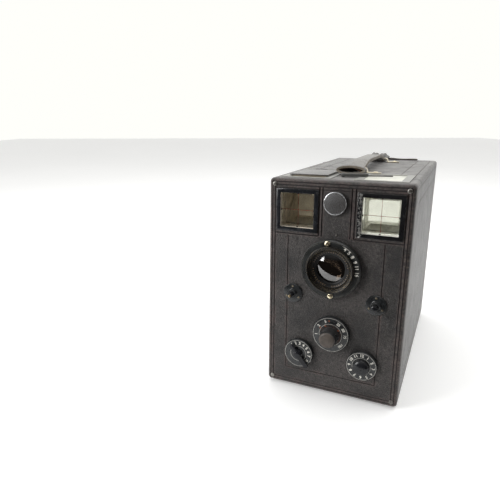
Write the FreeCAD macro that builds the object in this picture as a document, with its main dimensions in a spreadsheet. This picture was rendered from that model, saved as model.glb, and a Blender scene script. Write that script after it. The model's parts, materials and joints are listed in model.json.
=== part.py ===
import FreeCAD, Part
import math
import os
import re

import Sketcher

# A leather-covered box camera for glass plates: a falling-plate magazine camera with two
# reflex finders, a shutter with three dials on its front board, and a strap handle.
# Millimetres. +X is to the right of a person who faces the front, +Y runs from the front
# to the rear door, +Z is up. The origin is the centre of the bounding box, on the ground.

SIZES = {
    # case
    "body_wide": 120.0,
    "body_tall": 193.5,
    "body_deep": 231.6,
    "skin": 1.2,
    "wall": 5.8,
    "board": 6.8,
    "corner_round": 3.6,
    "fit_gap": 0.3,
    "run_gap": 0.06,
    # datum: the front face, the middle plane and the base, from the origin
    "front_set": 109.35,
    "middle_set": 1.75,
    "foot_tall": 2.0,
    "foot_dia": 9.0,
    "foot_inset": 12.0,
    # tripod bushes, quarter-inch Whitworth
    "bush_hole": 6.4,
    "bush_dia": 12.0,
    "bush_flange": 20.0,
    "bush_long": 8.0,
    "bush_plate": 0.8,
    # front fasteners
    "screw_dia": 4.3,
    "screw_inset": 4.9,
    "screw_head": 0.9,
    "screw_shank": 6.5,
    "small_head": 0.5,
    "small_shank": 0.4,
    "pin_dia": 1.9,
    "pin_proud": 0.6,
    "pin_up": 148.4,
    # reflex finders
    "finder_side": 34.8,
    "finder_up": 166.8,
    "frame_wide": 37.2,
    "frame_tall": 36.6,
    "frame_thick": 0.9,
    "window": 29.5,
    "collar_wall": 1.2,
    "collar_long": 12.6,
    "glass_thick": 3.0,
    "glass_set": 1.4,
    "glass_bevel": 1.1,
    "box_front": 12.8,
    "box_side": 32.9,
    "box_wide": 36.0,
    "box_deep": 44.0,
    "box_low": 150.6,
    "box_high": 190.1,
    "box_wall": 0.9,
    "mirror_long": 51.0,
    "mirror_thick": 1.4,
    "mirror_front": 2.6,
    "mirror_gap": 0.4,
    "screen_side": 31.4,
    "screen_wide": 30.6,
    "screen_deep": 42.0,
    "screen_thick": 1.6,
    "bezel_wide": 43.0,
    "bezel_deep": 51.0,
    "bezel_thick": 0.5,
    "bezel_front": 9.0,
    "lid_wide": 34.0,
    "lid_deep": 42.6,
    "lid_thick": 1.1,
    "lid_front": 17.0,
    "barrel_dia": 2.2,
    "barrel_pin": 1.0,
    # arm on the top
    "arm_x": -3.4,
    "arm_y": 28.5,
    "arm_turn": 15.0,
    "arm_long": 41.0,
    "arm_boss_long": 21.0,
    "arm_wide": 4.6,
    "arm_thick": 1.0,
    "arm_boss_thick": 2.2,
    "arm_lift": 0.8,
    # round button between the finders
    "button_side": -1.7,
    "button_up": 175.3,
    "button_dia": 19.2,
    "button_proud": 3.2,
    "button_stem": 5.0,
    "button_travel": 1.8,
    # lens
    "lens_side": -2.8,
    "lens_up": 119.3,
    "flange_dia": 51.0,
    "flange_proud": 5.5,
    "flange_floor": 1.2,
    "flange_hole": 26.6,
    "flange_screw_ring": 22.9,
    "flange_screw_shank": 0.6,
    "ring_dia": 41.0,
    "ring_proud": 8.2,
    "ring_lip": 38.0,
    "ring_step": 35.6,
    "ring_bore": 33.6,
    "cell_dia": 33.4,
    "cell_proud": 4.2,
    "cell_mouth": 24.6,
    "barrel_out": 26.2,
    "barrel_in": 21.0,
    "lens_barrel_long": 13.0,
    "front_lens": 23.2,
    "front_curve": 24.0,
    "front_crown": 2.7,
    "rear_lens": 20.8,
    "rear_curve": 30.0,
    "rear_thick": 3.2,
    "leaf_dia": 20.4,
    "leaf_bite": 8.4,
    "leaf_thick": 0.15,
    "leaf_pitch": 0.24,
    "leaf_depth": 5.0,
    "leaf_count": 6,
    # shutter
    "plate_wide": 96.0,
    "plate_tall": 128.0,
    "plate_low": 12.0,
    "plate_thick": 1.2,
    "disc_dia": 61.0,
    "disc_drop": 21.0,
    "disc_back": 15.0,
    "disc_thick": 0.8,
    "disc_slot": 20.0,
    "arbor_dia": 4.0,
    # dials: the side dials are alike, and the middle one is larger
    "dial_proud": 4.0,
    "side_dial": 27.0,
    "mode_side": -28.8,
    "mode_up": 35.4,
    "counter_side": 28.4,
    "counter_up": 35.2,
    "speed_dial_dia": 33.0,
    "speed_up": 59.6,
    "shaft_dia": 4.0,
    "shaft_back": 12.0,
    "speed_knob_dia": 15.6,
    "speed_knob_proud": 17.0,
    "counter_knob_dia": 13.6,
    "counter_knob_proud": 9.6,
    "lever_boss": 8.6,
    "lever_proud": 8.6,
    "lever_long": 14.6,
    "lever_short": 10.6,
    "lever_wide": 4.4,
    "lever_thick": 1.6,
    "lever_lift": 1.6,
    "lever_turn": -51.5,
    # plungers
    "plunger_side": 36.4,
    "plunger_up": 92.2,
    "guide_dia": 17.4,
    "guide_thick": 1.5,
    "guide_tube": 7.4,
    "guide_tube_proud": 4.6,
    "guide_screw_ring": 12.8,
    "guide_screw_dia": 2.0,
    "plunger_dia": 4.6,
    "plunger_tip": 2.6,
    "release_proud": 11.0,
    "time_cap": 6.8,
    "time_proud": 10.2,
    "plunger_travel": 3.0,
    "spring_dia": 5.4,
    "spring_wire": 0.6,
    "spring_turns": 5,
    "spring_front": 1.6,
    "spring_pitch": 1.15,
    # handle
    "strap_side": -0.6,
    "strap_front": 46.0,
    "strap_rear": 211.0,
    "strap_wide": 14.0,
    "strap_thick": 3.2,
    "strap_rise": 6.6,
    "strap_end_long": 15.0,
    "strap_end_lift": 0.7,
    "strap_end_wide": 26.2,
    "strap_end_tall": 7.8,
    "strap_flat": 0.4,
    "strap_slope": 20.0,
    "bridge_front": 65.5,
    "bridge_rear": 186.0,
    "bridge_long": 46.0,
    "bridge_wide": 7.0,
    "bridge_thick": 1.0,
    "bridge_arch": 20.0,
    "bridge_tall": 6.2,
    "bridge_screw": 4.0,
    "bridge_screw_inset": 5.0,
    "bridge_head": 0.8,
    "bridge_shank": 0.8,
    # rear door
    "hinge_out": 2.1,
    "hinge_up": 0.4,
    "hinge_dia": 4.0,
    "hinge_pin": 2.0,
    "hinge_long": 80.0,
    "hinge_middle": 30.0,
    "hinge_leaf": 0.8,
    "hinge_leaf_tall": 15.0,
    "hinge_leaf_deep": 24.0,
    "strap_tab_long": 38.0,
    "strap_tab_thick": 1.7,
    "strap_tab_wide": 7.0,
    # plate magazine, quarter plate
    "sheath_wide": 84.6,
    "sheath_tall": 109.6,
    "sheath_thick": 2.5,
    "sheath_pitch": 2.6,
    "sheath_count": 11,
    "sheath_room": 0.7,
    "shelf_top": 63.6,
    "shelf_thick": 4.0,
    "stack_front": 183.0,
    "press_thick": 1.2,
    "press_spring_wide": 12.0,
    "press_spring_thick": 0.5,
    "press_spring_flat": 8.0,
    "press_spring_half": 34.0,
    # plate-changing lever on the left side
    "change_back": 179.0,
    "change_up": 172.0,
    "change_shaft": 5.0,
    "change_lever_long": 20.0,
    "change_lever_wide": 7.0,
    "change_lever_thick": 2.2,
    "change_boss_proud": 3.5,
    "change_finger_long": 9.0,
    "change_finger_thick": 2.4,
    "change_finger_reach": 9.0,
}

WORD = re.compile(r"\b[a-z][a-z_]*[a-z]\b")
TURNS = {
    "up": FreeCAD.Rotation(),
    "front": FreeCAD.Rotation(FreeCAD.Vector(1, 0, 0), 90),
    "back": FreeCAD.Rotation(FreeCAD.Vector(1, 0, 0), -90),
    "down": FreeCAD.Rotation(FreeCAD.Vector(1, 0, 0), 180),
    "right": FreeCAD.Rotation(FreeCAD.Vector(0, 1, 0), 90),
    "left": FreeCAD.Rotation(FreeCAD.Vector(0, 1, 0), -90),
}
OPPOSITE = {"front": "back", "back": "front", "up": "down", "down": "up", "left": "right", "right": "left"}
SIDES = {"left": -1, "right": 1}
# how the saw slots of the screws happen to stand, in degrees
CORNER_SLOTS = (35.0, 85.0, 135.0, 185.0)
# lens flange screws: where each stands round the axis, and its slot
FLANGE_SCREWS = {"high": (97.5, 20.0), "low": (273.5, -35.0)}
GUIDE_SCREW_TURNS = (90, 210, 330)
BRIDGE_SLOT = 30.0

doc = FreeCAD.newDocument("BoxCamera")
sheet = doc.addObject("Spreadsheet::Sheet", "Sizes")
for row, (alias, size) in enumerate(SIZES.items(), start=1):
    sheet.set(f"A{row}", alias)
    sheet.set(f"B{row}", str(size))
    sheet.setAlias(f"B{row}", alias)
doc.recompute()

pieces = []


# ---------------------------------------------------------------- helpers


def scoped(formula):
    """Point each sheet name in a formula at the sheet."""

    def pointed(hit):
        return "Sizes." + hit.group() if hit.group() in SIZES else hit.group()

    return WORD.sub(pointed, str(formula))


def number(formula):
    """Value of a formula in millimetres."""
    return float(sheet.evalExpression(scoped(formula)))


def bind(item, prop, formula):
    """Tie one property to the sheet."""
    item.setExpression(prop, scoped(formula))


def place(item, at, facing="up", spin=0.0):
    """Put an item at (x from the middle plane, y behind the front face, z above the base)."""
    turn = TURNS[facing].multiply(FreeCAD.Rotation(FreeCAD.Vector(0, 0, 1), spin))
    item.Placement = FreeCAD.Placement(FreeCAD.Vector(), turn)
    bind(item, "Placement.Base.x", f"({at[0]}) + middle_set")
    bind(item, "Placement.Base.y", f"({at[1]}) - front_set")
    bind(item, "Placement.Base.z", f"({at[2]}) + foot_tall")
    return item


def keep(item):
    """Hand an item in as a sub-part of the camera."""
    pieces.append(item)
    return item


def block(name, low, size):
    """A square-cornered block from its low corner."""
    item = doc.addObject("Part::Box", name)
    for prop, formula in zip(("Length", "Width", "Height"), size):
        bind(item, prop, formula)
    return place(item, low)


def rod(name, dia, length, at, facing="front", spin=0.0):
    """A round bar that starts at a point and runs the way it faces."""
    item = doc.addObject("Part::Cylinder", name)
    bind(item, "Radius", f"({dia}) / 2")
    bind(item, "Height", length)
    return place(item, at, facing, spin)


def ball(name, radius, at):
    """A sphere about a point."""
    item = doc.addObject("Part::Sphere", name)
    bind(item, "Radius", radius)
    return place(item, at)


def cut(name, base, tool):
    """One solid less another."""
    item = doc.addObject("Part::Cut", name)
    item.Base = base
    item.Tool = tool
    return item


def common(name, base, tool):
    """The shared part of two solids."""
    item = doc.addObject("Part::Common", name)
    item.Base = base
    item.Tool = tool
    return item


def fuse(name, members):
    """Several solids made one."""
    item = doc.addObject("Part::MultiFuse", name)
    item.Shapes = members
    return item


def group(name, members):
    """Alike pieces that stay separate solids in one sub-part."""
    item = doc.addObject("Part::Compound", name)
    item.Links = members
    return item


def new_body(name, at, facing="up", spin=0.0):
    """An empty body, placed."""
    return place(doc.addObject("PartDesign::Body", name), at, facing, spin)


def new_sketch(body, name, plane="XY_Plane", lift="0"):
    """A sketch on one of the body's own origin planes, lifted along its normal."""
    sketch = body.newObject("Sketcher::SketchObject", name)
    support = next(item for item in body.Origin.OriginFeatures if item.Role == plane)
    sketch.AttachmentSupport = [(support, "")]
    sketch.MapMode = "FlatFace"
    bind(sketch, "AttachmentOffset.Base.z", lift)
    return sketch


def tie_point(sketch, line, end, point):
    """Bind one end of a line, or the centre of a circle, to its two formulas."""
    for kind, formula in zip(("DistanceX", "DistanceY"), point):
        index = sketch.addConstraint(Sketcher.Constraint(kind, -1, 1, line, end, number(formula)))
        bind(sketch, f"Constraints[{index}]", formula)


def draw_outline(sketch, points):
    """A closed outline of straight lines through bound points."""
    spots = [FreeCAD.Vector(number(x), number(y), 0) for x, y in points]
    first = sketch.GeometryCount
    for start, end in zip(spots, spots[1:] + spots[:1]):
        sketch.addGeometry(Part.LineSegment(start, end), False)
    for index in range(len(points)):
        after = (index + 1) % len(points)
        sketch.addConstraint(Sketcher.Constraint("Coincident", first + index, 2, first + after, 1))
    for index, point in enumerate(points):
        tie_point(sketch, first + index, 1, point)


def draw_oblong(sketch, low, high):
    """A rectangle between two bound corners."""
    draw_outline(sketch, [low, (high[0], low[1]), high, (low[0], high[1])])


def draw_circle(sketch, centre, dia):
    """A circle with a bound centre and diameter."""
    spot = FreeCAD.Vector(number(centre[0]), number(centre[1]), 0)
    index = sketch.addGeometry(Part.Circle(spot, FreeCAD.Vector(0, 0, 1), number(dia) / 2), False)
    tie_point(sketch, index, 3, centre)
    width = sketch.addConstraint(Sketcher.Constraint("Diameter", index, number(dia)))
    bind(sketch, f"Constraints[{width}]", dia)


def pad(body, sketch, length, backward=False):
    """Raise a sketch into a solid."""
    feature = body.newObject("PartDesign::Pad", sketch.Name + "_pad")
    feature.Profile = sketch
    bind(feature, "Length", length)
    feature.Reversed = backward
    sketch.Visibility = False
    return feature


def pocket(body, sketch, length, backward=False):
    """Sink a sketch into the solid, and be sure that it took something away."""
    doc.recompute()
    before = body.Shape.Volume
    feature = body.newObject("PartDesign::Pocket", sketch.Name + "_pocket")
    feature.Profile = sketch
    bind(feature, "Length", length)
    feature.Reversed = backward
    doc.recompute()
    if body.Shape.Volume >= before:
        raise RuntimeError(f"{sketch.Name} cuts nothing")
    return feature


def dress(body, kind, size, edges):
    """Round or bevel the named edges of the body as it stands."""
    dressed = body.Tip
    feature = body.newObject(f"PartDesign::{kind}", f"{body.Name}_{kind}".lower())
    feature.Base = (dressed, edges)
    bind(feature, "Radius" if kind == "Fillet" else "Size", size)
    doc.recompute()
    return feature


def edges_where(body, wanted):
    """Names of the straight edges that pass a test of direction and middle point."""
    doc.recompute()
    names = []
    for index, edge in enumerate(body.Tip.Shape.Edges, start=1):
        if edge.Curve.TypeId != "Part::GeomLine":
            continue
        if wanted(edge.tangentAt(edge.FirstParameter), edge.CenterOfMass):
            names.append(f"Edge{index}")
    return names


def prism(name, draw, length, at, facing="up", spin=0.0):
    """A body padded from one sketch, which the draw function fills."""
    body = new_body(name, at, facing, spin)
    sketch = new_sketch(body, name + "_outline")
    draw(sketch)
    pad(body, sketch, length)
    return body


def turned(name, profile, at, facing="front"):
    """A body spun about its own axis from (radius, height) points."""
    body = new_body(name, at, facing)
    sketch = new_sketch(body, name + "_profile", "XZ_Plane")
    draw_outline(sketch, profile)
    feature = body.newObject("PartDesign::Revolution", name + "_turn")
    feature.Profile = sketch
    feature.ReferenceAxis = (sketch, ["V_Axis"])
    feature.Angle = 360.0
    return body


def slotted_screw(name, dia, head, shank, at, facing="front", spin=0.0):
    """A cheese-head screw with a saw slot; the point is the underside of its head."""
    top = rod(name + "_head", dia, head, at, facing)
    stem = rod(name + "_stem", f"({dia}) * 0.45", shank, at, OPPOSITE[facing])
    whole = fuse(name + "_whole", [top, stem])
    slot = doc.addObject("Part::Box", name + "_slot")
    bind(slot, "Length", f"({dia}) * 1.2")
    bind(slot, "Width", f"({dia}) * 0.16")
    bind(slot, "Height", head)
    turn = TURNS[facing].multiply(FreeCAD.Rotation(FreeCAD.Vector(0, 0, 1), spin))
    local = FreeCAD.Vector(-number(dia) * 0.6, -number(dia) * 0.08, number(head) * 0.5)
    shift = turn.multVec(local)
    place(slot, [f"({axis}) + ({step:.6f})" for axis, step in zip(at, shift)], facing, spin)
    return cut(name, whole, slot)


# ---------------------------------------------------------------- case

# distance forward from the rear end of the case's four boards to the front face
FROM_REAR = "(body_deep - board - skin)"


def long_edges(body, half_wide, half_tall):
    """The four outer edges of a front-facing block about its own centre."""
    wide = number(half_wide)
    tall = number(half_tall)

    def wanted(way, spot):
        return abs(way.z) > 0.99 and abs(abs(spot.x) - wide) < 0.01 and abs(abs(spot.y) - tall) < 0.01

    return edges_where(body, wanted)


def screen_holes(body):
    """Two holes down through the top, for the finder boxes."""
    holes = new_sketch(body, body.Name + "_screens", "XZ_Plane")
    for sign in SIDES.values():
        low = (f"{sign} * box_side - box_wide / 2 - fit_gap", f"{FROM_REAR} - box_front - box_deep - fit_gap")
        high = (f"{sign} * box_side + box_wide / 2 + fit_gap", f"{FROM_REAR} - box_front + fit_gap")
        draw_oblong(holes, low, high)
    pocket(body, holes, "body_tall")


def base_hole(body):
    """The hole up through the base, for its tripod bush."""
    hole = new_sketch(body, body.Name + "_bush", "XZ_Plane")
    draw_circle(hole, ("0", f"{FROM_REAR} - body_deep / 2"), "bush_dia")
    pocket(body, hole, "body_tall", True)


def left_holes(body):
    """The holes through the left side, for its tripod bush and the changing lever."""
    holes = new_sketch(body, body.Name + "_holes", "YZ_Plane")
    draw_circle(holes, ("0", f"{FROM_REAR} - body_deep / 2"), "bush_dia")
    change = ("change_up - body_tall / 2", f"{FROM_REAR} - change_back")
    draw_circle(holes, change, "change_shaft + 2 * run_gap")
    pocket(body, holes, "body_wide")


def case_length(name, draw):
    """A body that runs from the front board to the rear door, padded from its end view."""
    at = ("0", "body_deep - board - skin", "body_tall / 2")
    return prism(name, draw, "body_deep - 2 * (board + skin)", at, "front")


def build_boards():
    """The wooden case: top and base over the whole width, and the two sides between them."""
    wide = "(body_wide / 2 - skin)"
    tall = "(body_tall / 2 - skin)"
    inner_wide = f"({wide} - wall)"
    inner_tall = f"({tall} - wall)"
    spans = {
        "case_top": ((f"-{wide}", inner_tall), (wide, tall), screen_holes),
        "case_base": ((f"-{wide}", f"-{tall}"), (wide, f"-{inner_tall}"), base_hole),
        "case_left": ((f"-{wide}", f"-{inner_tall}"), (f"-{inner_wide}", inner_tall), left_holes),
        "case_right": ((inner_wide, f"-{inner_tall}"), (wide, inner_tall), None),
    }
    for name, (low, high, drill) in spans.items():

        def draw(sketch):
            draw_oblong(sketch, low, high)

        board = case_length(name, draw)
        outside = long_edges(board, wide, tall)
        if outside:
            dress(board, "Fillet", "corner_round", outside)
        if drill:
            drill(board)
        keep(board)


def build_cover():
    """The leather round the four boards."""
    wide = "(body_wide / 2)"
    tall = "(body_tall / 2)"
    inner_wide = f"({wide} - skin)"
    inner_tall = f"({tall} - skin)"

    def draw(sketch):
        draw_oblong(sketch, (f"-{wide}", f"-{tall}"), (wide, tall))
        draw_oblong(sketch, (f"-{inner_wide}", f"-{inner_tall}"), (inner_wide, inner_tall))

    cover = case_length("case_cover", draw)
    dress(cover, "Fillet", "corner_round", long_edges(cover, inner_wide, inner_tall))
    dress(cover, "Fillet", "corner_round + skin", long_edges(cover, wide, tall))
    for drill in (screen_holes, base_hole, left_holes):
        drill(cover)
    keep(cover)


def front_layer(name, inset, low, thick):
    """One layer of the front board, with the openings for all that goes through it."""
    body = new_body(name, ("0", low, "body_tall / 2"), "front")
    sketch = new_sketch(body, name + "_sheet")
    wide = f"(body_wide / 2 - {inset})"
    tall = f"(body_tall / 2 - {inset})"
    draw_oblong(sketch, (f"-{wide}", f"-{tall}"), (wide, tall))
    pad(body, sketch, thick)
    openings = new_sketch(body, name + "_openings", "XY_Plane", thick)
    collar = "(window / 2 + collar_wall + fit_gap)"
    middle = "body_tall / 2"
    for sign in SIDES.values():
        low_corner = (f"{sign} * finder_side - {collar}", f"finder_up - {middle} - {collar}")
        high_corner = (f"{sign} * finder_side + {collar}", f"finder_up - {middle} + {collar}")
        draw_oblong(openings, low_corner, high_corner)
        plunger = (f"{sign} * plunger_side", f"plunger_up - {middle}")
        draw_circle(openings, plunger, "spring_dia + 2 * fit_gap")
    shaft_hole = "shaft_dia + 2 * run_gap"
    draw_circle(openings, ("lens_side", f"lens_up - {middle}"), "barrel_out + 2 * fit_gap")
    draw_circle(openings, ("button_side", f"button_up - {middle}"), "button_stem + 2 * run_gap")
    draw_circle(openings, ("mode_side", f"mode_up - {middle}"), shaft_hole)
    draw_circle(openings, ("counter_side", f"counter_up - {middle}"), shaft_hole)
    draw_circle(openings, ("0", f"speed_up - {middle}"), shaft_hole)
    pocket(body, openings, thick)
    return body


def rim_edges(body, high, half_wide, half_tall):
    """The straight outer edges that lie at one height of a front-facing sheet."""
    level = number(high)
    wide = number(half_wide)
    tall = number(half_tall)

    def wanted(way, spot):
        outside = abs(abs(spot.x) - wide) < 0.01 or abs(abs(spot.y) - tall) < 0.01
        return abs(spot.z - level) < 0.01 and abs(way.z) < 0.01 and outside

    return edges_where(body, wanted)


def build_case():
    """Wooden case and front board, each with its leather, and what is fixed to them.

    Gives back the front's screws and pin, which share a sub-part with those of the lens."""
    build_boards()
    build_cover()
    board = front_layer("front_board", "skin", "skin + board", "board")
    board_corners = long_edges(board, "body_wide / 2 - skin", "body_tall / 2 - skin")
    dress(board, "Fillet", "corner_round", board_corners)
    keep(board)
    cover = front_layer("front_cover", "0", "skin", "skin")
    around = new_sketch(cover, "front_cover_edge")
    draw_oblong(around, ("-body_wide / 2", "-body_tall / 2"), ("body_wide / 2", "body_tall / 2"))
    inner = "(body_wide / 2 - skin)"
    upper = "(body_tall / 2 - skin)"
    draw_oblong(around, (f"-{inner}", f"-{upper}"), (inner, upper))
    pad(cover, around, "board", True)
    dress(cover, "Fillet", "corner_round", long_edges(cover, inner, upper))
    corners = long_edges(cover, "body_wide / 2", "body_tall / 2")
    dress(cover, "Fillet", "corner_round + skin", corners)
    keep(cover)
    fasteners = []
    for side, sign in SIDES.items():
        for level, up in {"low": "screw_inset", "high": "body_tall - screw_inset"}.items():
            spot = (f"{sign} * (body_wide / 2 - screw_inset)", "0", up)
            slot = CORNER_SLOTS[len(fasteners)]
            name = f"corner_{side}_{level}"
            screw = slotted_screw(name, "screw_dia", "screw_head", "screw_shank", spot, "front", slot)
            fasteners.append(screw)
    fasteners.append(rod("middle_pin", "pin_dia", "pin_proud", ("0", "0", "pin_up")))
    feet = []
    for side, sign in SIDES.items():
        for end, back in {"front": "foot_inset", "rear": "body_deep - foot_inset - board"}.items():
            spot = (f"{sign} * (body_wide / 2 - foot_inset)", back, "0")
            feet.append(rod(f"foot_{side}_{end}", "foot_dia", "foot_tall", spot, "down"))
    keep(group("feet", feet))
    profile = [
        ("bush_hole / 2", "-bush_plate"),
        ("bush_flange / 2", "-bush_plate"),
        ("bush_flange / 2", "0"),
        ("bush_dia / 2", "0"),
        ("bush_dia / 2", "bush_long"),
        ("bush_hole / 2", "bush_long"),
    ]
    keep(turned("base_bush", profile, ("0", "body_deep / 2", "0"), "up"))
    keep(turned("side_bush", profile, ("-body_wide / 2", "body_deep / 2", "body_tall / 2"), "right"))
    return fasteners


# ---------------------------------------------------------------- reflex finders


def finder_frame(side, sign):
    """Front frame with the collar that reaches back to the finder's box."""
    name = f"finder_frame_{side}"
    body = new_body(name, (f"{sign} * finder_side", "0", "finder_up"), "front")
    plate = new_sketch(body, name + "_plate")
    draw_oblong(plate, ("-frame_wide / 2", "-frame_tall / 2"), ("frame_wide / 2", "frame_tall / 2"))
    draw_oblong(plate, ("-window / 2", "-window / 2"), ("window / 2", "window / 2"))
    pad(body, plate, "frame_thick")
    collar = new_sketch(body, name + "_collar")
    outer = "(window / 2 + collar_wall)"
    draw_oblong(collar, (f"-{outer}", f"-{outer}"), (outer, outer))
    draw_oblong(collar, ("-window / 2", "-window / 2"), ("window / 2", "window / 2"))
    pad(body, collar, "collar_long", True)
    return keep(body)


def finder_glass(side, sign):
    """Square front glass with bevelled edges."""
    name = f"finder_glass_{side}"

    def draw(sketch):
        half = "(window / 2 - 0.1)"
        draw_oblong(sketch, (f"-{half}", f"-{half}"), (half, half))

    spot = (f"{sign} * finder_side", "glass_set + glass_thick", "finder_up")
    body = prism(name, draw, "glass_thick", spot, "front")
    half = "window / 2 - 0.1"
    dress(body, "Chamfer", "glass_bevel", rim_edges(body, "glass_thick", half, half))
    return keep(body)


def finder_box(side, sign):
    """Sheet-metal box, open in front for the window and on top for the screen."""
    name = f"finder_box_{side}"
    centre = f"({sign} * box_side)"
    outer = block(name + "_outer", (f"{centre} - box_wide / 2", "box_front", "box_low"),
                  ("box_wide", "box_deep", "box_high - box_low"))
    inner = block(name + "_inner",
                  (f"{centre} - box_wide / 2 + box_wall", "box_front + box_wall", "box_low + box_wall"),
                  ("box_wide - 2 * box_wall", "box_deep - 2 * box_wall", "box_high - box_low"))
    window = block(name + "_window",
                   (f"{sign} * finder_side - window / 2", "box_front - 1", "finder_up - window / 2"),
                   ("window", "3", "window"))
    return keep(cut(name, cut(name + "_hollow", outer, inner), window))


def finder_mirror(side, sign):
    """Mirror at forty-five degrees, from the floor in front up to the rear."""
    name = f"finder_mirror_{side}"
    item = doc.addObject("Part::Box", name)
    bind(item, "Length", "box_wide - 2 * box_wall - 1")
    bind(item, "Width", "mirror_long")
    bind(item, "Height", "mirror_thick")
    low_x = f"{sign} * box_side - box_wide / 2 + box_wall + 0.5"
    place(item, (low_x, "box_front + mirror_front", "box_low + box_wall + mirror_gap"))
    item.Placement.Rotation = FreeCAD.Rotation(FreeCAD.Vector(1, 0, 0), 45)
    return item


def finder_screen(side, sign):
    """Ground glass that rests on the box's rim."""
    low = (f"{sign} * box_side - box_wide / 2", "box_front", "box_high")
    return block(f"finder_screen_{side}", low, ("box_wide", "box_deep", "screen_thick"))


def finder_bezel(side, sign):
    """Thin plate round the screen, on top of the leather."""
    name = f"finder_bezel_{side}"

    def draw(sketch):
        draw_oblong(sketch, ("-bezel_wide / 2", "0"), ("bezel_wide / 2", "bezel_deep"))
        front = "box_front + box_wall + 0.2 - bezel_front"
        draw_oblong(sketch, ("-screen_wide / 2", front), ("screen_wide / 2", f"{front} + screen_deep"))

    return prism(name, draw, "bezel_thick", (f"{sign} * screen_side", "bezel_front", "body_tall"))


LID_AXIS = ("lid_front + lid_deep", "body_tall + bezel_thick + barrel_dia / 2 + 0.1")


def knuckle(name, centre, start, length):
    """A length of hinge barrel with its bore, along X, about the lid's axis."""
    spot = (f"{centre} + {start}", LID_AXIS[0], LID_AXIS[1])
    outer = rod(name + "_outer", "barrel_dia", length, spot, "right")
    inner = rod(name + "_bore", "barrel_pin + 2 * run_gap", length, spot, "right")
    return outer, inner


def build_finders():
    """Both finders; the left screen has its lid, and the right one stands open."""
    for side, sign in SIDES.items():
        finder_frame(side, sign)
        finder_glass(side, sign)
        finder_box(side, sign)
    keep(group("finder_mirrors", [finder_mirror(side, sign) for side, sign in SIDES.items()]))
    keep(group("finder_screens", [finder_screen(side, sign) for side, sign in SIDES.items()]))
    keep(finder_bezel("right", 1))
    centre = "(-screen_side)"
    third = "(lid_wide / 3)"
    plate = finder_bezel("left", -1)
    plate.Label = "finder_bezel_left_plate"
    barrels = [knuckle("bezel_knuckle_a", centre, "(-lid_wide / 2)", f"{third} - 0.2"),
               knuckle("bezel_knuckle_b", centre, "(lid_wide / 6 + 0.2)", f"{third} - 0.2")]
    webs = []
    for index, start in enumerate(("(-lid_wide / 2)", "(lid_wide / 6 + 0.2)")):
        low = (f"{centre} + {start}", f"{LID_AXIS[0]} - 0.5", "body_tall + bezel_thick / 2")
        webs.append(block(f"bezel_web_{index}", low, (f"{third} - 0.2", "1", "barrel_dia / 2")))
    body = fuse("bezel_body", [plate] + webs + [outer for outer, inner in barrels])
    bores = fuse("bezel_bores", [inner for outer, inner in barrels])
    item = cut("bezel_left", body, bores)
    item.Label = "finder_bezel_left"
    keep(item)
    outer, inner = knuckle("lid_knuckle", centre, "(-lid_wide / 6)", third)
    leaf_low = (f"{centre} - lid_wide / 2", "lid_front", f"{LID_AXIS[1]} - lid_thick / 2")
    leaf = block("lid_leaf", leaf_low, ("lid_wide", "lid_deep - barrel_dia / 2 - 0.3", "lid_thick"))
    leaf_under = f"{LID_AXIS[1]} - lid_thick / 2"
    tongue_low = (f"{centre} - lid_wide / 6", f"{LID_AXIS[0]} - barrel_dia", leaf_under)
    tongue = block("lid_tongue", tongue_low, (third, "barrel_dia", "lid_thick"))
    keep(cut("finder_lid", fuse("lid_body", [leaf, tongue, outer]), inner))
    pin_at = (f"{centre} - lid_wide / 2", LID_AXIS[0], LID_AXIS[1])
    keep(rod("lid_pin", "barrel_pin", "lid_wide", pin_at, "right"))


def build_arm():
    """Flat arm that turns on a rivet at its thick left end."""
    at = ("arm_x", "arm_y", "body_tall + arm_lift")
    thick = doc.addObject("Part::Box", "arm_grip")
    bind(thick, "Length", "arm_boss_long")
    bind(thick, "Width", "arm_wide")
    bind(thick, "Height", "arm_boss_thick")
    thin = doc.addObject("Part::Box", "arm_blade")
    bind(thin, "Length", "arm_long")
    bind(thin, "Width", "arm_wide * 0.6")
    bind(thin, "Height", "arm_thick")
    shift = TURNS["up"].multiply(FreeCAD.Rotation(FreeCAD.Vector(0, 0, 1), number("arm_turn")))
    for item, drop in ((thick, "arm_wide"), (thin, "arm_wide * 0.6")):
        step = shift.multVec(FreeCAD.Vector(0, -number(drop) / 2, 0))
        place(item, (f"{at[0]} + {step.x:.6f}", f"{at[1]} + {step.y:.6f}", at[2]), "up", number("arm_turn"))
    boss = rod("arm_boss", "arm_wide", "arm_boss_thick", at, "up")
    rivet = rod("arm_rivet", "arm_wide * 0.5", "arm_lift + arm_boss_thick + 0.5",
                (at[0], at[1], "body_tall"), "up")
    keep(fuse("swing_arm", [thick, thin, boss, rivet]))


# ---------------------------------------------------------------- lens and shutter


def round_axis(side, up, ring, turn):
    """Side and height of a point at a bound radius round an axis, at an angle from the right."""
    angle = math.radians(turn)
    return f"{side} + {math.cos(angle):.6f} * ({ring})", f"{up} + {math.sin(angle):.6f} * ({ring})"


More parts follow.
